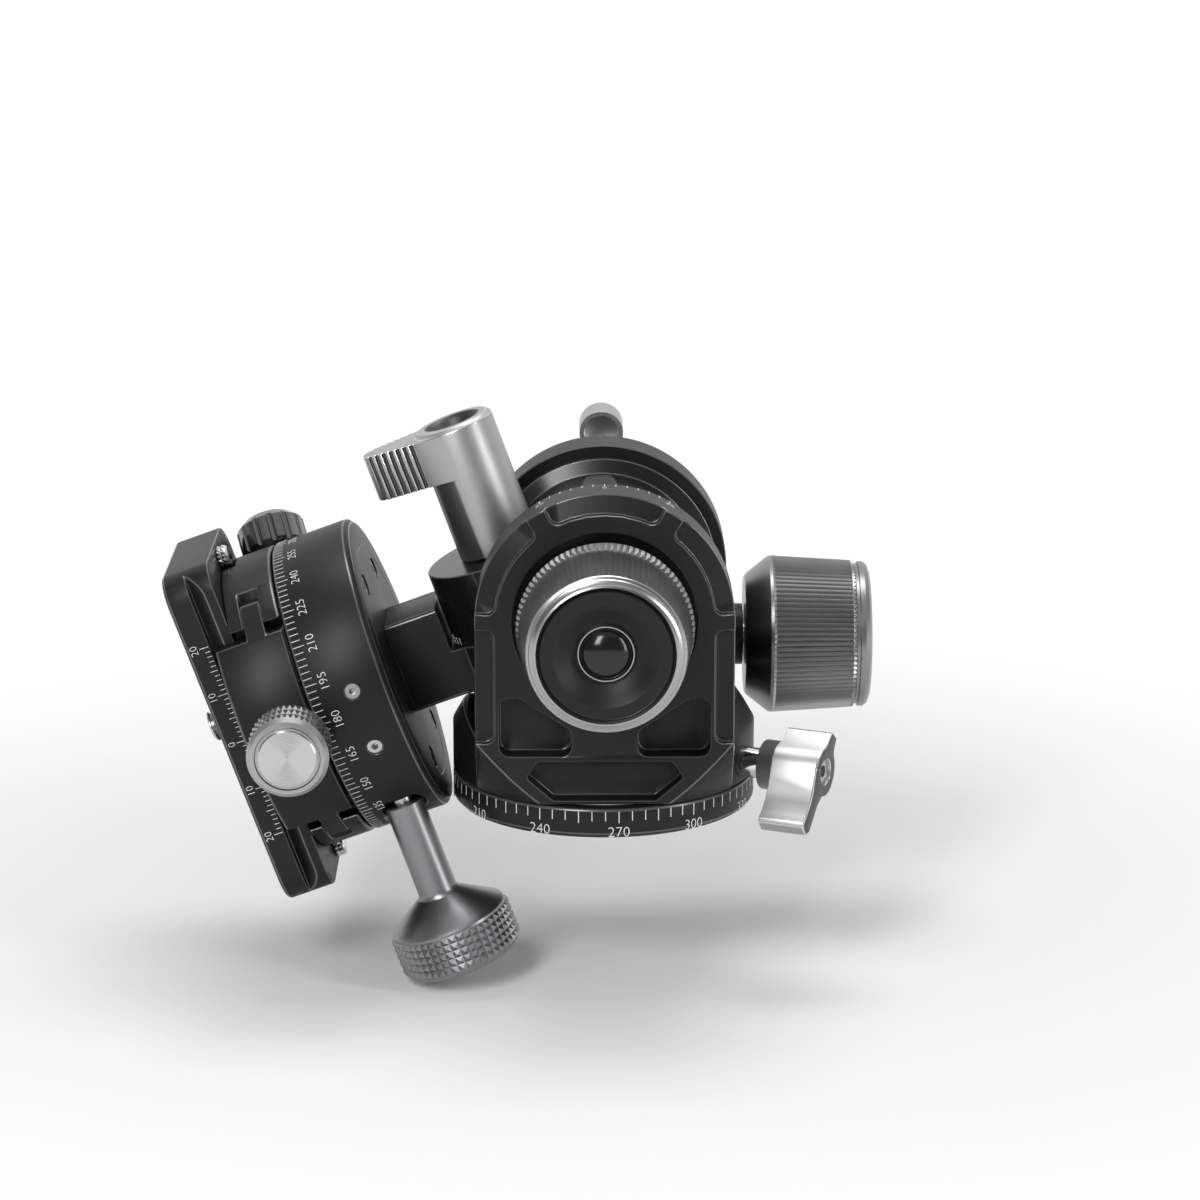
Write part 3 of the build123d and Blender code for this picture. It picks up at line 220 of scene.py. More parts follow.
# %% The bright finishes
def turned_metal(name, level, smooth, rough, axis=upright, tint=1.01, ring_scale=7000.0, depth=0.003):
    """Metal with fine rings about an axis."""
    finish = Finish(name, Metallic=1.0)
    here = finish.place(axis)
    spread = finish.node("ShaderNodeSeparateXYZ", {}, {0: here}, 0)
    across = Number(finish, spread.socket.node.outputs[1])
    along = Number(finish, spread.socket.node.outputs[2])
    squared = spread * spread + across * across
    radius = squared.math("SQRT", squared)
    line = finish.node("ShaderNodeCombineXYZ", {}, {0: radius, 1: along})
    rings = finish.noise(line, ring_scale, 2.0)
    cloud = finish.noise(here, 90.0, 2.0)
    colour = finish.mix(cloud, grey(level * 0.92, tint), grey(level, tint))
    roughness = smooth + (rough - smooth) * rings
    normal = finish.bump(rings, 0.6, depth * mm)
    return finish.feed(Base_Color=colour, Roughness=roughness, Normal=normal)


def tumbled_metal(name, level, smooth, rough, tint=1.01):
    """Metal with an even, slightly cloudy sheen."""
    finish = Finish(name, Metallic=1.0)
    here = finish.place()
    grain = finish.noise(here, 4200.0, 2.0)
    cloud = finish.noise(here, 130.0, 3.0)
    colour = finish.mix(cloud, grey(level * 0.9, tint), grey(level, tint))
    roughness = smooth + (rough - smooth) * cloud + 0.05 * grain
    normal = finish.bump(grain, 0.25, 0.006 * mm)
    return finish.feed(Base_Color=colour, Roughness=roughness, Normal=normal)


toward_camera = at(0, 0, tilt_axis_z) @ turn(90, "X")
satin_silver = tumbled_metal("satin_silver", 0.48, 0.36, 0.46)
# Chamfer finish for the silver pieces: its brighter colour is a painted highlight.
silver_edge_painted_highlight = tumbled_metal("silver_edge_painted_highlight", 0.80, 0.18, 0.26)
knurl_grey = tumbled_metal("knurl_grey", 0.40, 0.24, 0.34)
gunmetal = tumbled_metal("gunmetal", 0.30, 0.28, 0.40, 1.03)
jaw_grey = tumbled_metal("jaw_grey", 0.44, 0.24, 0.36)
dark_silver = tumbled_metal("dark_silver", 0.30, 0.24, 0.36)
# Much darker silver: painted shade for the lever's grooves and hollow and the winged knob's end face.
silver_painted_shade = tumbled_metal("silver_painted_shade", 0.10, 0.34, 0.46)
turned_ring = turned_metal("turned_ring", 0.42, 0.22, 0.34, toward_camera)
turned_steel = turned_metal("turned_steel", 0.55, 0.20, 0.36)
polished_chrome = turned_metal("polished_chrome", 0.78, 0.05, 0.10)
dark_chrome = turned_metal("dark_chrome", 0.24, 0.10, 0.18, upright, 1.04)
print("bright finishes:", satin_silver.name, turned_ring.name, polished_chrome.name)

# %% [markdown]
# ## Bronze, plastic, rubber and ink
#
# The bushes and worm wheels are bronze, the washers are slippery white plastic, the plate carries
# a ribbed rubber pad, and the dials are filled with white paint. None of these is large, but each
# is seen when the head is taken apart or turned round.

# %% The other finishes
def plain_finish(name, dark, light, smooth, rough, metallic=0.0, scale=400.0, height=0.01):
    """An even finish with a little variation in colour, sheen and surface."""
    finish = Finish(name, Metallic=metallic)
    here = finish.place()
    grain = finish.noise(here, scale * 8.0, 2.0)
    cloud = finish.noise(here, scale, 3.0)
    colour = finish.mix(cloud, dark, light)
    roughness = smooth + (rough - smooth) * cloud
    normal = finish.bump(grain, 0.3, height * mm)
    return finish.feed(Base_Color=colour, Roughness=roughness, Normal=normal)


bronze = plain_finish("bronze", (0.42, 0.27, 0.11, 1), (0.55, 0.37, 0.17, 1), 0.24, 0.40, 1.0)
slide_plastic = plain_finish("slide_plastic", (0.70, 0.70, 0.67, 1), (0.80, 0.80, 0.77, 1), 0.35, 0.50)
rubber = plain_finish("rubber", grey(0.012), grey(0.022), 0.70, 0.85, 0.0, 700.0, 0.03)
white_ink = plain_finish("white_ink", grey(0.72), grey(0.86), 0.45, 0.60, 0.0, 900.0, 0.004)
dark_bronze = plain_finish("dark_bronze", (0.020, 0.014, 0.009, 1), (0.035, 0.025, 0.015, 1), 0.35, 0.50, 1.0)
print("other finishes:", bronze.name, slide_plastic.name, rubber.name, white_ink.name)

# %% [markdown]
# ## First coat for every solid
#
# Every solid gets the finish its record names, even where it is hidden, so that nothing bare shows
# when a joint moves. Pieces that need a better shape are replaced further down.

# %% Assign the finishes
by_slot = {
    "black_anodised": satin_black, "satin_aluminium": satin_silver, "grey_anodised": knurl_grey,
    "gunmetal": gunmetal, "steel": turned_steel, "chrome": polished_chrome, "dark_chrome": dark_chrome,
    "bronze": bronze, "black_plastic": gloss_black, "slide_plastic": slide_plastic, "rubber": rubber,
}
slot_of = {part["node"]: part["material_slot"] for part in frame["record"]["subparts"]}
body_of = {name: body for body, names in frame["record"]["behaviour"]["bodies"].items() for name in names}
for name, solid in nodes.items():
    solid.data.materials.clear()
    solid.data.materials.append(by_slot[slot_of[name]])
nodes["pan_worm_bush"].data.materials[0] = dark_bronze
print("coated", len(nodes), "solids with", len(by_slot), "finishes")

# %% [markdown]
# ## Making a new piece
#
# Each new piece is shaped in a bmesh with its own middle at the origin. One function then puts it
# in place, shades smooth whatever is rounder than the sharp angle, and hands it to the body it
# rides on, so the object itself stays unturned and unscaled.

# %% Turn a bmesh into a riding piece
def finished(bm, name, like, coats, place=upright, sharp=28.0, replaces=()):
    """Place a mesh, coat it, and let it ride with the same body as a solid."""
    bmesh.ops.transform(bm, matrix=place, verts=bm.verts)
    mesh = bpy.data.meshes.new(name)
    bm.to_mesh(mesh)
    bm.free()
    mesh.shade_smooth()
    mesh.set_sharp_from_angle(angle=radians(sharp))
    for coat in coats:
        mesh.materials.append(coat)
    piece = bpy.data.objects.new(name, mesh)
    bpy.context.scene.collection.objects.link(piece)
    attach(piece, body_of[like])
    if replaces:
        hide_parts(*replaces)
    print(f"{name}: {len(mesh.polygons)} faces on {body_of[like]}")
    return piece


# %% [markdown]
# ## Breaking the edges
#
# A sharp edge on a render looks like paper, because no real edge is perfectly sharp: a machinist
# breaks it with a narrow chamfer, and that chamfer catches the light. The solids come as loose
# triangles, so we copy one, merge its points, join its flat triangles into whole faces, and bevel
# only the edges where two faces really turn. The new faces get the edge finish, whose paler colour
# is a painted highlight.

# %% A copy of a solid with broken edges
def broken_edges(node, width, coats, angle=34.0, flat=0.4, painted_shade_at=None):
    """Replace a solid with a copy whose sharp edges have a narrow chamfer."""
    bm = bmesh.new()
    bm.from_mesh(nodes[node].data)
    bmesh.ops.remove_doubles(bm, verts=bm.verts, dist=0.002 * mm)
    bmesh.ops.dissolve_limit(bm, angle_limit=radians(flat), verts=bm.verts, edges=bm.edges)
    sharp = [edge for edge in bm.edges
             if edge.is_manifold and edge.calc_face_angle() > radians(angle)]
    made = bmesh.ops.bevel(bm, geom=sharp, affect="EDGES", offset=width * mm, offset_type="OFFSET",
                           segments=1, profile=0.5, material=-1, clamp_overlap=False)
    for face in bm.faces:
        face.material_index = 0
    # The chamfer faces take the second coat, which carries the painted edge highlight.
    if len(coats) > 1:
        for face in made["faces"]:
            face.material_index = 1
    bmesh.ops.triangulate(bm, faces=[face for face in bm.faces if len(face.verts) > 4])
    # Faces that the mask picks take the last coat, a painted shade.
    for face in bm.faces:
        if painted_shade_at and painted_shade_at(face.calc_center_median() / mm, face.normal):
            face.material_index = len(coats) - 1
    return finished(bm, "broken_" + node, node, coats, replaces=(node,))


black_pair = (satin_black, black_edge_painted_highlight)
for node, width in (("fork_frame", 0.22), ("base_disc", 0.20), ("pan_case", 0.20), ("clamp_body", 0.20),
                    ("clamp_jaw", 0.20), ("camera_plate", 0.20), ("arm_block", 0.18),
                    ("rear_gear_cover", 0.20), ("pan_case_floor", 0.12), ("worm_bearing", 0.15)):
    broken_edges(node, width, black_pair)
broken_edges("tilt_drum", 0.20, (drum_black, black_edge_painted_highlight))

# %% [markdown]
# The hub lever's finger grooves and the hollow in its end, and the winged knob's end face, are
# coated a much darker silver: painted shade. We find them by place: a groove's faces lie inside the
# lever's outline, which is the hull of two circles.

# %% Levers and winged knob
hub_axis_z, barrel_radius, tip_radius, tip_reach = 16.4, 8.0, 4.0, 14.8
hollow_start, hollow_radius = 38.9, 5.65
wing_face = 47.2
wing_angle = radians(-25)
wing_axis = Vector((cos(wing_angle), sin(wing_angle), 0))
lean = acos((barrel_radius - tip_radius) / tip_reach)


# Picks the hub lever's faces that get painted shade.
def lever_hollow(centre, normal):
    """Whether a face lies in a finger groove or in the end's hollow."""
    along, across, up = swung.to_3x3().inverted() @ (centre - Vector((0, 0, tilt_axis_z)))
    up -= hub_axis_z
    if along > hollow_start and (across ** 2 + up ** 2) ** 0.5 < hollow_radius:
        return True
    flank = barrel_radius - abs(across) * sin(lean) - up * cos(lean)
    tip = tip_radius - (across ** 2 + (up - tip_reach) ** 2) ** 0.5
    depth = flank if up < tip_reach + tip_radius * cos(lean) else tip
    across_lever = abs((swung.to_3x3().inverted() @ normal).x) < 0.5
    return across_lever and up > barrel_radius - 0.5 and depth > 0.12


# Picks the winged knob's end face, which gets painted shade.
def wing_end(centre, normal):
    """Whether a face belongs to the winged knob's outer end."""
    return centre.dot(wing_axis) > wing_face and normal.dot(wing_axis) > 0.9


silver_coats = (satin_silver, silver_edge_painted_highlight, silver_painted_shade)
broken_edges("hub_lever", 0.08, silver_coats, flat=0.1, painted_shade_at=lever_hollow)
broken_edges("rear_lever", 0.08, silver_coats, flat=0.1)
broken_edges("wing_knob", 0.10, silver_coats, flat=0.1, painted_shade_at=wing_end)

# %% [markdown]
# ## Turned pieces and straight knurling
#
# A knob grip is turned on a lathe and then knurled with a ridged wheel. We do the same: spin a
# profile of radius and height round Z with two steps for each ridge, then press every second line
# of points inwards between two heights. Where the knurl ends, the grooves run out by themselves.

# %% A lathe and a knurling wheel
def lathe(profile, steps=96, closed=False):
    """Spin (radius, height) points, in millimetres, round Z."""
    bm = bmesh.new()
    points = [bm.verts.new((radius * mm, 0, height * mm)) for radius, height in profile]
    edges = [bm.edges.new(pair) for pair in zip(points, points[1:])]
    if closed:
        edges.append(bm.edges.new((points[-1], points[0])))
    bmesh.ops.spin(bm, geom=points + edges, cent=(0, 0, 0), axis=(0, 0, 1), dvec=(0, 0, 0),
                   angle=tau, steps=steps, use_merge=True)
    bmesh.ops.remove_doubles(bm, verts=bm.verts, dist=0.0005 * mm)
    bmesh.ops.recalc_face_normals(bm, faces=bm.faces)
    return bm


def knurl(bm, ridges, low, high, least_radius, depth):
    """Press V grooves along the outside between two heights."""
    slack = 0.01 * mm
    for point in bm.verts:
        outside = point.co.xy.length > least_radius * mm
        if outside and low * mm - slack < point.co.z < high * mm + slack:
            line = round(atan2(point.co.y, point.co.x) / tau * 2 * ridges)
            if line % 2:
                point.co.xy *= 1 - depth * mm / point.co.xy.length


def coat_between(bm, low, high, coat):
    """Give the faces between two heights another finish."""
    for face in bm.faces:
        if low * mm < face.calc_center_median().z < high * mm:
            face.material_index = coat


print("lathe and knurling wheel ready")

# %% [markdown]
# ## The tilt lock's dished knob
#
# It is the largest thing that faces us: a grey ring with about ninety straight ridges, tapering to
# a bright band turned in two steps, and inside it a black plastic dish with a glossy dome that sits
# in a thin silver ring. Ring, dish, thin ring and dome are four turned pieces.

# %% Front knob
front = at(0, 0, tilt_axis_z) @ turn(90, "X")
back_of_ring = 23.9
knurl_low, knurl_high = 32.5, 50.0
ring_profile = (
    (12.5, 46.5), (4.0, 46.5), (4.0, back_of_ring), (14.0, back_of_ring), (14.0, 31.2), (16.0, 31.3),
    (17.05, knurl_low), (16.75, 34.0), (15.3, knurl_high - 0.9), (15.1, knurl_high), (14.95, 50.25),
    (14.5, 50.45), (14.35, 50.75), (13.7, 51.1), (13.5, 51.35), (13.1, 51.5), (12.9, 51.2), (12.5, 50.9),
)
ring = lathe(ring_profile, 180, closed=True)
knurl(ring, 90, 34.0, knurl_high - 0.9, 15.0, 0.8)
coat_between(ring, knurl_high - 0.1, 52.0, 1)
finished(ring, "front_knob_ring", "lock_knob_grip", (knurl_grey, turned_ring), front, 24.0,
         ("lock_knob_grip",))

dish_profile = ((0, 46.6), (12.4, 46.6), (12.4, 51.3), (12.15, 51.7), (9.95, 51.75), (9.75, 51.65),
                (8.4, 50.6), (6.9, 49.6), (5.7, 49.05), (5.3, 49.0), (0, 49.0))
finished(lathe(dish_profile, 96), "front_knob_dish", "lock_knob_cap", (dish_black,), front, 24.0,
         ("lock_knob_cap",))
thin_ring = ((4.95, 49.0), (5.45, 49.0), (5.45, 49.75), (5.3, 49.95), (5.1, 49.95), (4.95, 49.75))
finished(lathe(thin_ring, 72, closed=True), "front_knob_thin_ring", "lock_knob_cap", (turned_ring,), front)
dome_profile = ((0, 49.05), (4.9, 49.05), (4.9, 49.7), (4.6, 50.2), (4.0, 50.75), (3.1, 51.25), (2.0, 51.55),
                (1.0, 51.7), (0, 51.75))
finished(lathe(dome_profile, 72), "front_knob_dome", "lock_knob_button", (gloss_black,), front, 60.0,
         ("lock_knob_button",))

# %% [markdown]
# ## The knob that drives the tilt
#
# It has the same dish, seen from the right-hand side only. Its back is a dark glossy bevel, then
# comes fine straight knurling, a narrow groove, and a glossy rim.

# %% Gear knob
gear_axis_y, gear_axis_z = 24.5, 26.5
right = at(0, gear_axis_y, gear_axis_z) @ turn(90, "Y")
gear_profile = (
    (2.5, 29.0), (11.8, 29.0), (12.4, 29.35), (15.6, 33.4), (15.95, 33.9), (16.05, 34.5), (16.0, 35.0),
    (15.05, 50.6), (14.9, 51.2), (14.35, 51.4), (14.35, 51.95), (14.85, 52.1), (14.85, 53.1), (14.3, 53.9),
    (13.0, 54.4), (12.5, 54.1), (12.5, 47.4), (2.5, 47.4),
)
gear_knob = lathe(gear_profile, 180, closed=True)
knurl(gear_knob, 90, 35.0, 50.8, 14.9, 0.8)
coat_between(gear_knob, 28.0, 34.7, 1)
coat_between(gear_knob, 51.3, 55.5, 1)
finished(gear_knob, "side_knob_grip", "gear_knob_grip", (knurl_grey, dark_silver), right, 24.0,
         ("gear_knob_grip",))
side_dish = ((0, 47.5), (12.4, 47.5), (12.4, 53.9), (12.15, 54.3), (9.95, 54.35), (9.75, 54.2), (8.3, 53.0),
             (6.8, 52.0), (5.6, 51.5), (5.3, 51.45), (0, 51.45))
finished(lathe(side_dish, 96), "side_knob_dish", "gear_knob_cap", (dish_black,), right, 24.0,
         ("gear_knob_cap",))
side_ring = ((4.95, 51.45), (5.45, 51.45), (5.45, 52.1), (5.3, 52.3), (5.1, 52.3), (4.95, 52.1))
finished(lathe(side_ring, 72, closed=True), "side_knob_thin_ring", "gear_knob_cap", (turned_ring,), right)
side_dome = ((0, 51.5), (4.9, 51.5), (4.9, 52.1), (4.6, 52.6), (4.0, 53.1), (3.1, 53.6), (2.0, 53.9),
             (1.0, 54.05), (0, 54.1))
finished(lathe(side_dome, 72), "side_knob_dome", "gear_knob_button", (gloss_black,), right, 60.0,
         ("gear_knob_button",))

# %% [markdown]
# ## Rows of pyramids
#
# Three knobs have crossed knurling cut so deep that it leaves rows of small pyramids. Spinning a
# profile whose grip is divided into rows gives a net of squares; poking each square raises its
# middle into a point. That is one operator for a few hundred pyramids.

# %% Poke the squares of a grip
def pyramids(bm, low, high, least_radius, height):
    """Raise each square between two heights into a pyramid."""
    squares = []
    for face in bm.faces:
        middle = face.calc_center_median()
        inside = low * mm < middle.z < high * mm and middle.xy.length > least_radius * mm
        if inside and abs(face.normal.z) < 0.3:
            squares.append(face)
    bmesh.ops.poke(bm, faces=squares, offset=height * mm, center_mode="MEAN")
    return len(squares)


def rows(radius, low, high, count):
    """Profile points that divide a straight grip into rows."""
    return [(radius, low + (high - low) * index / count) for index in range(count + 1)]


# %% [markdown]
# ## The panning drive's stem knob
#
# A long plain stem opens into a cone and a grip with five rows of pyramids.

# %% Stem knob
stem_y, stem_z = -18.0, 50.2
stem_place = swung @ at(0, stem_y, stem_z) @ turn(-90, "Y")
stem_profile = [(0, 22.6), (3.6, 22.6), (3.9, 22.9), (3.9, 41.6), (4.0, 42.0), (4.4, 42.6), (11.2, 47.2),
                (11.7, 47.8), *rows(11.75, 48.3, 55.8, 5), (11.6, 56.2), (10.9, 56.9), (10.2, 57.0),
                (0, 57.0)]
stem = lathe(stem_profile, 48)
print("pyramids on the stem knob:", pyramids(stem, 48.3, 55.8, 11.0, 0.62))
finished(stem, "pan_stem_knob_cut", "pan_stem_knob", (gunmetal,), stem_place, 22.0, ("pan_stem_knob",))

# %% [markdown]
# ## The jaw knob
#
# Small and deeply cut, with a bevelled grey rim, a dark groove and a bright disc. The disc was faced
# on a lathe, and the tool left rings a few hundredths of a millimetre deep. Their slopes lean all
# ways outwards and inwards, which stretches every highlight into a fan.

# %% Jaw knob
jaw_screw_z = 63.8
jaw_place = swung @ at(0, 0, jaw_screw_z) @ turn(90, "X")
jaw_profile = [(0, 8.5), (2.5, 8.5), (2.5, 30.2), (4.5, 30.2), (5.2, 32.7), (6.9, 33.0), (7.4, 33.4),
               *rows(7.5, 33.6, 42.6, 3), (7.75, 42.8), (7.85, 43.1), (7.1, 44.0), (6.3, 44.15), (6.15, 43.7),
               (5.9, 43.7), (5.9, 44.2), (0, 44.2)]
jaw_grip = lathe(jaw_profile, 44)
print("pyramids on the jaw knob:", pyramids(jaw_grip, 33.6, 42.6, 7.0, 0.5))
finished(jaw_grip, "jaw_knob_cut", "jaw_knob", (jaw_grey,), jaw_place, 22.0, ("jaw_knob",))
fan_metal = turned_metal("fan_metal", 0.58, 0.14, 0.22, jaw_place)
disc_rim, disc_face, ripple_count, ripple_depth = 5.35, 44.6, 100, 0.005
ripples = [(disc_rim * (1 - step / ripple_count), disc_face - ripple_depth * (1 + sin(2.4 * step)))
           for step in range(ripple_count + 1)]
disc_profile = [(0, 44.2), (5.55, 44.2), (5.55, 44.45), *ripples]
finished(lathe(disc_profile, 72), "jaw_knob_bright_disc", "jaw_knob_disc", (fan_metal,), jaw_place, 4.0,
         ("jaw_knob_disc",))

# %% [markdown]
# ## Stop screws
#
# Two chrome screws under the plate's ends keep it from sliding out of the clamp. Their heads are
# knurled so that fingers can turn them, and domed at the end.

# %% Stop screws
stop_x = 31.4
for side, tag in ((-1, "near"), (1, "far")):
    stop_profile = [(0, 66.8), (1.2, 66.8), (2.0, 66.95), (2.4, 67.25), *rows(2.45, 67.35, 69.05, 2),
                    (2.3, 69.2), (1.3, 69.2), (1.3, 73.6), (0, 73.6)]
    stop = lathe(stop_profile, 18)
    pyramids(stop, 67.35, 69.05, 2.2, 0.24)
    taken = ("plate_stop_screws",) if side < 0 else ()
    finished(stop, f"stop_screw_{tag}", "plate_stop_screws", (polished_chrome,),
             swung @ at(side * stop_x, 0, 0), 22.0, taken)

# %% [markdown]
# ## The dials
#
# Dials on a head like this are engraved by laser and filled with white. Each mark is a thin slab
# that stands a few hundredths of a millimetre proud of the metal. On a round surface, a mark is
# made flat in the X-Y plane, with X along the rim and Y up, and then wrapped: its X becomes an
# angle, its Y stays a height. Numbers are text, turned into a mesh before they are wrapped.

# %% Marks, numbers and wrapping
ink_height = 0.04


def mark(bm, x, y_low, y_high, width):
    """Add one upright mark to a flat sheet of marks, in millimetres."""
    size = Matrix.Diagonal((width * mm, (y_high - y_low) * mm, ink_height * mm, 1))
    middle = at(x, (y_low + y_high) / 2, ink_height / 2)
    bmesh.ops.create_cube(bm, size=1.0, matrix=middle @ size)


def figure(bm, text, x, y, height, turned_by=0.0):
    """Add a number, centred on a point of the sheet."""
    curve = bpy.data.curves.new("figure", "FONT")
    curve.body = text
    curve.align_x, curve.align_y = "CENTER", "CENTER"
    curve.size = height * mm / 0.7
    curve.offset = -0.018 * curve.size
    curve.extrude = ink_height * mm / 2
    curve.resolution_u = 3
    holder = bpy.data.objects.new("figure", curve)
    flat = bpy.data.meshes.new_from_object(holder)
    flat.transform(at(x, y, ink_height / 2) @ turn(turned_by, "Z"))
    bm.from_mesh(flat)
    bpy.data.objects.remove(holder)
    bpy.data.meshes.remove(flat)
    bpy.data.curves.remove(curve)


def wrap(bm, radius):
    """Bend a flat sheet of marks round Z; X = 0 stays in front, at -Y."""
    for point in bm.verts:
        angle = point.co.x / (radius * mm) - pi / 2
        reach = radius * mm + point.co.z
        point.co = Vector((reach * cos(angle), reach * sin(angle), point.co.y))


def clean(bm):
    bmesh.ops.remove_doubles(bm, verts=bm.verts, dist=0.0005 * mm)
    bmesh.ops.recalc_face_normals(bm, faces=bm.faces)
    return bm


# %% [markdown]
# ### Base dial
#
# Marks every five degrees hang from the disc's upper edge, with a number every thirty degrees.

# %% Base dial
base_radius = 30.0
degree = base_radius * tau / 360
base_top = 5.55
front_reading = 264.8
base_dial = bmesh.new()
for reading in range(0, 360, 5):
    x = ((reading - front_reading + 180) % 360 - 180) * degree
    long_mark = reading % 15 == 0
    mark(base_dial, x, base_top - (2.3 if long_mark else 1.9), base_top, 0.16)
for reading in range(0, 360, 30):
    x = ((reading - front_reading + 180) % 360 - 180) * degree
    figure(base_dial, str(reading), x, 1.35, 2.05)
wrap(base_dial, base_radius)
finished(clean(base_dial), "base_dial", "base_disc", (white_ink,))

# %% [markdown]
# ### Panning case dial
#
# The same on the case, with marks every two and a half degrees below its upper edge, and a number
# every fifteen degrees.

# %% Case dial
case_radius = 30.0
case_top = 58.5
case_front_reading = 179.2
case_dial = bmesh.new()
for step in range(144):
    reading = step * 2.5
    x = ((reading - case_front_reading + 180) % 360 - 180) * degree
    long_mark = step % 6 == 0
    start = case_top - 0.45
    mark(case_dial, x, start - (2.3 if long_mark else 1.8), start, 0.12)
for reading in range(0, 360, 15):
    x = ((reading - case_front_reading + 180) % 360 - 180) * degree
    figure(case_dial, str(reading), x, 54.25, 1.75)
wrap(case_dial, case_radius)
finished(clean(case_dial), "case_dial", "pan_case", (white_ink,), swung)

# %% [markdown]
# ### Plate ruler
#
# The plate's long side carries a millimetre ruler that reads outwards from its middle.

# %% Plate ruler
plate_half_width = 19.5
slab_low = 74.0
ruler = bmesh.new()
for step in range(-20, 21):
    reach = 1.9 if step % 10 == 0 else 1.5 if step % 5 == 0 else 1.0
    mark(ruler, step, slab_low + 0.2, slab_low + 0.2 + reach, 0.11)
for step in (-20, -10, 0, 10, 20):
    figure(ruler, str(abs(step)), step, slab_low + 3.1, 1.5)
ruler_place = swung @ at(0, -plate_half_width, 0) @ turn(90, "X")
finished(clean(ruler), "plate_ruler", "camera_plate", (white_ink,), ruler_place)

# %% [markdown]
# ### Tilt scale, index marks and pointer
#
# A short scale runs over the top of the fork's front cheek, five degrees to a mark, with a zero in
# the middle. The drum's hub has five index marks, and the drum's flange a small pointer.

# %% Tilt scale
arch_radius = 25.0
cheek_inner = 17.5
arch_degree = arch_radius * tau / 360
scale = bmesh.new()
for reading in range(-30, 35, 5):
    long_mark = reading % 30 == 0
    mark(scale, reading * arch_degree, -2.3 if long_mark else -1.7, -0.3, 0.2)
for reading in (-30, 0, 30):
    figure(scale, str(abs(reading)), reading * arch_degree, -3.4, 1.4)
wrap(scale, arch_radius)
scale_place = at(0, -cheek_inner, tilt_axis_z) @ turn(-90, "X")
finished(clean(scale), "tilt_scale", "fork_frame", (white_ink,), scale_place)

# %% Index marks on the hub and pointer on the drum
hub_z, hub_radius, cheek_end = 16.4, 15.1, 0.15
index = bmesh.new()
for step in range(-2, 3):
    mark(index, step * 1.5, 0.0, 1.9 if step == 0 else 1.4, 0.15)
wrap(index, hub_radius)
index_angle = -72
index_place = swung @ at(cheek_end + 0.4, 0, hub_z) @ turn(90, "Y") @ turn(index_angle, "Z")
finished(clean(index), "hub_index", "tilt_drum", (white_ink,), index_place)

flange_radius = 23.0
pointer = bmesh.new()
bmesh.ops.create_cone(pointer, cap_ends=True, segments=3, radius1=0.8 * mm, radius2=0.8 * mm,
                      depth=2 * ink_height * mm, matrix=turn(90, "Z"))
pointer_place = swung @ at(0, -cheek_inner + 1.4, flange_radius)
finished(pointer, "tilt_pointer", "tilt_drum", (white_ink,), pointer_place)

# %% [markdown]
# ## The camera screw's thread
#
# A screw thread is a small V carried round an axis while it climbs one pitch per turn. Spin does
# just that when it is given a step along the axis, and the turns join because the V is exactly one
# pitch high. Two cuts trim the ends flat.

# %% Camera screw
def threaded_bar(radius, pitch, low, high, depth, steps=28):
    """A closed bar with an outside thread, along Z."""
    turns = int((high - low) / pitch) + 2
    bm = bmesh.new()
    shape = ((radius - depth, 0.0), (radius - 0.06, 0.42), (radius - 0.06, 0.58), (radius - depth, 1.0))
    points = [bm.verts.new((reach * mm, 0, (low - pitch + share * pitch) * mm)) for reach, share in shape]
    edges = [bm.edges.new(pair) for pair in zip(points, points[1:])]
    bmesh.ops.spin(bm, geom=points + edges, cent=(0, 0, 0), axis=(0, 0, 1),
                   dvec=(0, 0, pitch / steps * mm), angle=tau * turns, steps=steps * turns, use_merge=False)
    bmesh.ops.remove_doubles(bm, verts=bm.verts, dist=0.002 * mm)
    for height, side in ((low, -1), (high, 1)):
        everything = bm.verts[:] + bm.edges[:] + bm.faces[:]
        bmesh.ops.bisect_plane(bm, geom=everything, plane_co=(0, 0, height * mm), plane_no=(0, 0, side),
                               clear_outer=True)
    bmesh.ops.holes_fill(bm, edges=[edge for edge in bm.edges if edge.is_boundary])
    bmesh.ops.recalc_face_normals(bm, faces=bm.faces)
    return bm


screw = threaded_bar(3.175, 1.27, 78.6, 83.1, 0.62)
finished(screw, "camera_screw_thread", "camera_screw", (turned_steel,), swung, 30.0)
shank_profile = ((0, 70.0), (6.6, 70.0), (7.0, 70.4), (7.0, 73.1), (6.7, 73.5), (2.7, 73.5), (2.7, 78.7),
                 (0, 78.7))
finished(lathe(shank_profile, 64), "camera_screw_shank", "camera_screw", (turned_steel,), swung, 24.0,
         ("camera_screw",))

# %% [markdown]
# ## Studio
#
# A product like this is photographed in a bright tent: white behind and above, darker on the
# camera's side, so that the metal shows both. The world is that tent. The camera sees it as plain
# white; shiny surfaces see the white backdrop and the darker room; three soft lamps model the
# shapes. The floor is pale and lies just below the lowest knob. Near the head it is lit and shows
# the shadow; further out it fades to a plain white glow, which only the camera and reflections see.

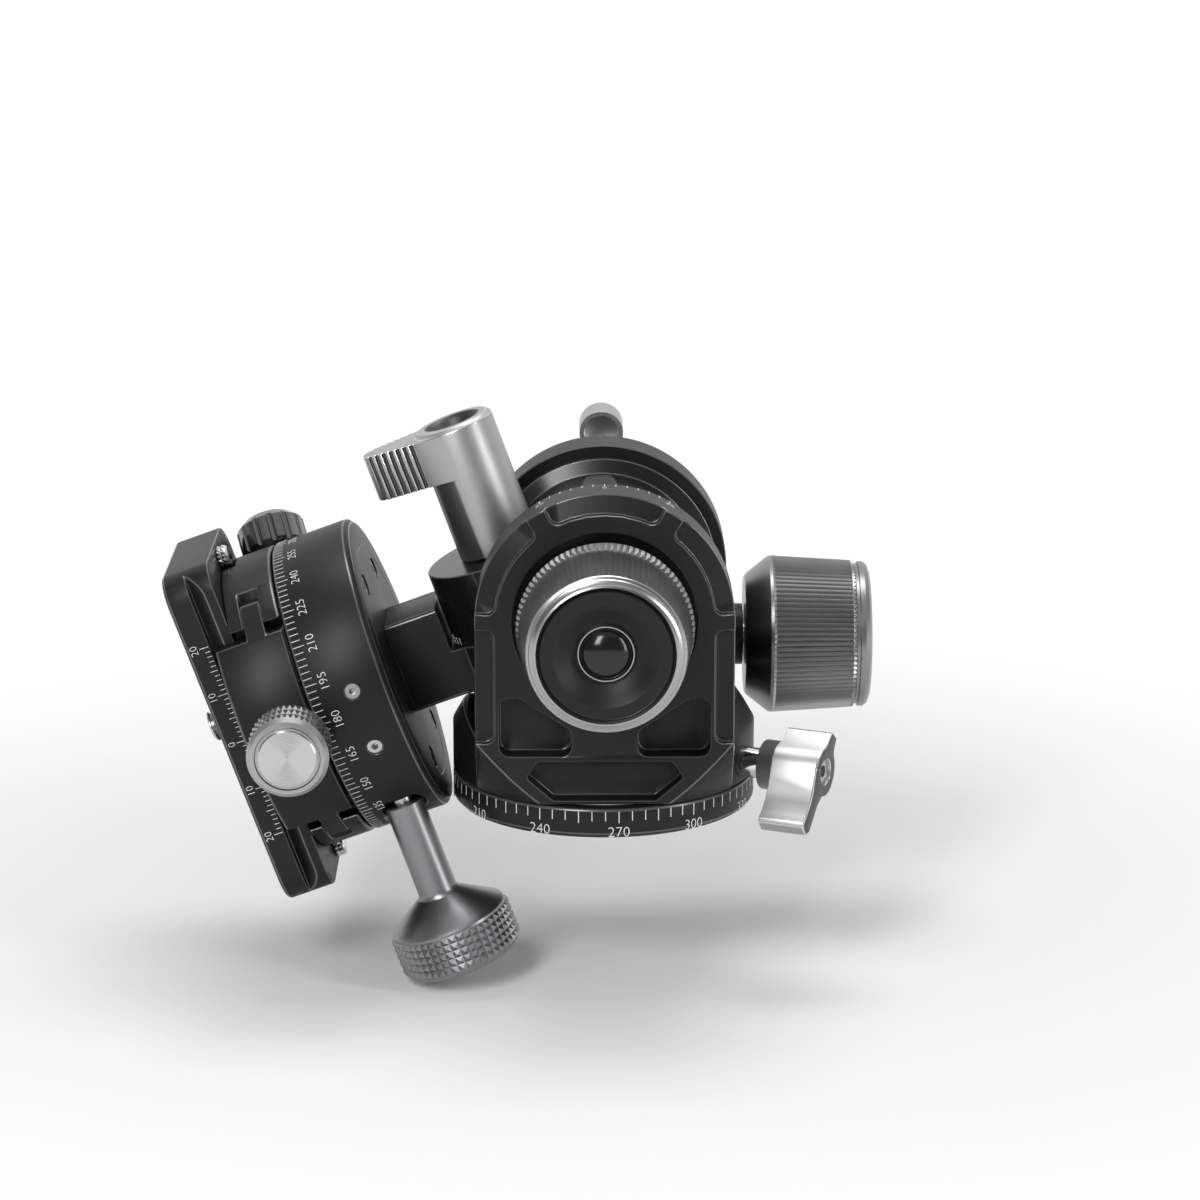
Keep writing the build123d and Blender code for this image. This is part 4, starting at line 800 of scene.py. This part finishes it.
# %% Floor
floor_drop = 0.6
lowest = cad_box[0].z - floor_drop * mm
floor_mesh = bmesh.new()
bmesh.ops.create_circle(floor_mesh, cap_ends=True, radius=3.0, segments=96)
bmesh.ops.translate(floor_mesh, vec=(0, 0, lowest), verts=floor_mesh.verts)
floor_data = bpy.data.meshes.new("floor")
floor_mesh.to_mesh(floor_data)
floor_mesh.free()
floor = bpy.data.objects.new("floor", floor_data)
bpy.context.scene.collection.objects.link(floor)
pale = Finish("pale_floor", Roughness=0.9, Emission_Strength=1.0)
where = pale.place()
paper = pale.noise(where, 6.0, 2.0)
reach = pale.node("ShaderNodeVectorMath", {"operation": "LENGTH"}, {0: where}, "Value")
far = pale.node("ShaderNodeMapRange", {"interpolation_type": "SMOOTHSTEP"}, {0: reach, 1: 0.07, 2: 0.30})
rays = pale.node("ShaderNodeLightPath", {}, {}, "Is Camera Ray").socket.node.outputs
camera_ray, glossy_ray, through_ray = (Number(pale, rays[f"Is {kind} Ray"])
                                       for kind in ("Camera", "Glossy", "Transmission"))
white = far * camera_ray.math("MAXIMUM", camera_ray, glossy_ray.math("MAXIMUM", glossy_ray, through_ray))
plain = pale.mix(paper, grey(0.92), grey(0.94))
floor_data.materials.append(pale.feed(Base_Color=pale.mix(white, plain, grey(0.0)),
                                      Emission_Color=pale.mix(white, grey(0.0), grey(1.0))))
print("floor at", round(lowest / mm, 2), "mm")

# %% World
world = bpy.data.worlds.new("tent")
bpy.context.scene.world = world
world.use_nodes = True
tree = world.node_tree
background = tree.nodes["Background"]


def world_node(kind, settings, inputs, output=0):
    """Add a node to the world, with its settings and inputs."""
    made = tree.nodes.new(kind)
    for name, value in settings.items():
        setattr(made, name, value)
    for name, value in inputs.items():
        if isinstance(value, bpy.types.NodeSocket):
            tree.links.new(value, made.inputs[name])
        else:
            made.inputs[name].default_value = value
    return made.outputs[output]


direction = world_node("ShaderNodeTexCoord", {}, {}, "Generated")
split = world_node("ShaderNodeSeparateXYZ", {}, {0: direction}, 0).node
behind = world_node("ShaderNodeMapRange", {"interpolation_type": "SMOOTHSTEP"},
                    {0: split.outputs[1], 1: -0.30, 2: 0.55, 3: 0.17, 4: 0.9})
above = world_node("ShaderNodeMapRange", {"interpolation_type": "SMOOTHSTEP"},
                   {0: split.outputs[2], 1: 0.35, 2: 0.95, 3: 0.0, 4: 0.5})
tent = world_node("ShaderNodeMath", {"operation": "MAXIMUM"}, {0: behind, 1: above})
seen = world_node("ShaderNodeLightPath", {}, {}, "Is Camera Ray")
glossy = seen.node.outputs["Is Glossy Ray"]
through = seen.node.outputs["Is Transmission Ray"]
shine = world_node("ShaderNodeMix", {"data_type": "FLOAT"}, {0: glossy, 2: 0.28, 3: tent})
pure = world_node("ShaderNodeMath", {"operation": "MAXIMUM"}, {0: seen, 1: through})
strength = world_node("ShaderNodeMix", {"data_type": "FLOAT"}, {0: pure, 2: shine, 3: 1.0})
tree.links.new(strength, background.inputs["Strength"])
background.inputs["Color"].default_value = (1, 1, 1, 1)
print("tent ready")


# %% Lamps
def lamp(name, place, target, size, watts):
    """A soft square lamp that faces a point."""
    light = bpy.data.lights.new(name, "AREA")
    light.shape = "RECTANGLE"
    light.size, light.size_y = size
    light.energy = watts
    holder = bpy.data.objects.new(name, light)
    holder.location = place
    holder.rotation_euler = (Vector(target) - Vector(place)).to_track_quat("-Z", "Y").to_euler()
    bpy.context.scene.collection.objects.link(holder)
    return holder


middle = (0, 0, 0.03)
lamp("key", (-0.30, -0.70, 0.52), middle, (0.22, 0.50), 4.2)
lamp("side", (0.72, -0.40, 0.30), middle, (0.12, 0.60), 2.2)
lamp("top", (0.00, 0.15, 0.85), middle, (0.60, 0.35), 3.0)
print("lamps:", [light.name for light in bpy.data.lights])

# %% [markdown]
# ## Camera
#
# The photograph was taken with a long lens, from a little above. Its frame is square.

# %% Camera
aim = Vector((-0.7, 0, 40)) * mm
distance = 770 * mm
azimuth, elevation = radians(0.5), radians(14.5)
focal_pixels, frame_pixels, sensor = 3889.0, 1200.0, 36.0
view_back = Vector((-sin(azimuth) * cos(elevation), -cos(azimuth) * cos(elevation), sin(elevation)))
camera_data = bpy.data.cameras.new("camera")
camera_data.sensor_width = sensor
camera_data.lens = sensor * focal_pixels / frame_pixels
camera = bpy.data.objects.new("camera", camera_data)
camera.location = aim + view_back * distance
camera.rotation_euler = (-view_back).to_track_quat("-Z", "Y").to_euler()
bpy.context.scene.collection.objects.link(camera)
bpy.context.scene.camera = camera
bpy.context.scene.view_settings.view_transform = "Standard"
print("lens", round(camera_data.lens, 1), "mm")

# %% Finish
print("solids:", [[round(v / mm, 2) for v in corner] for corner in cad_box])
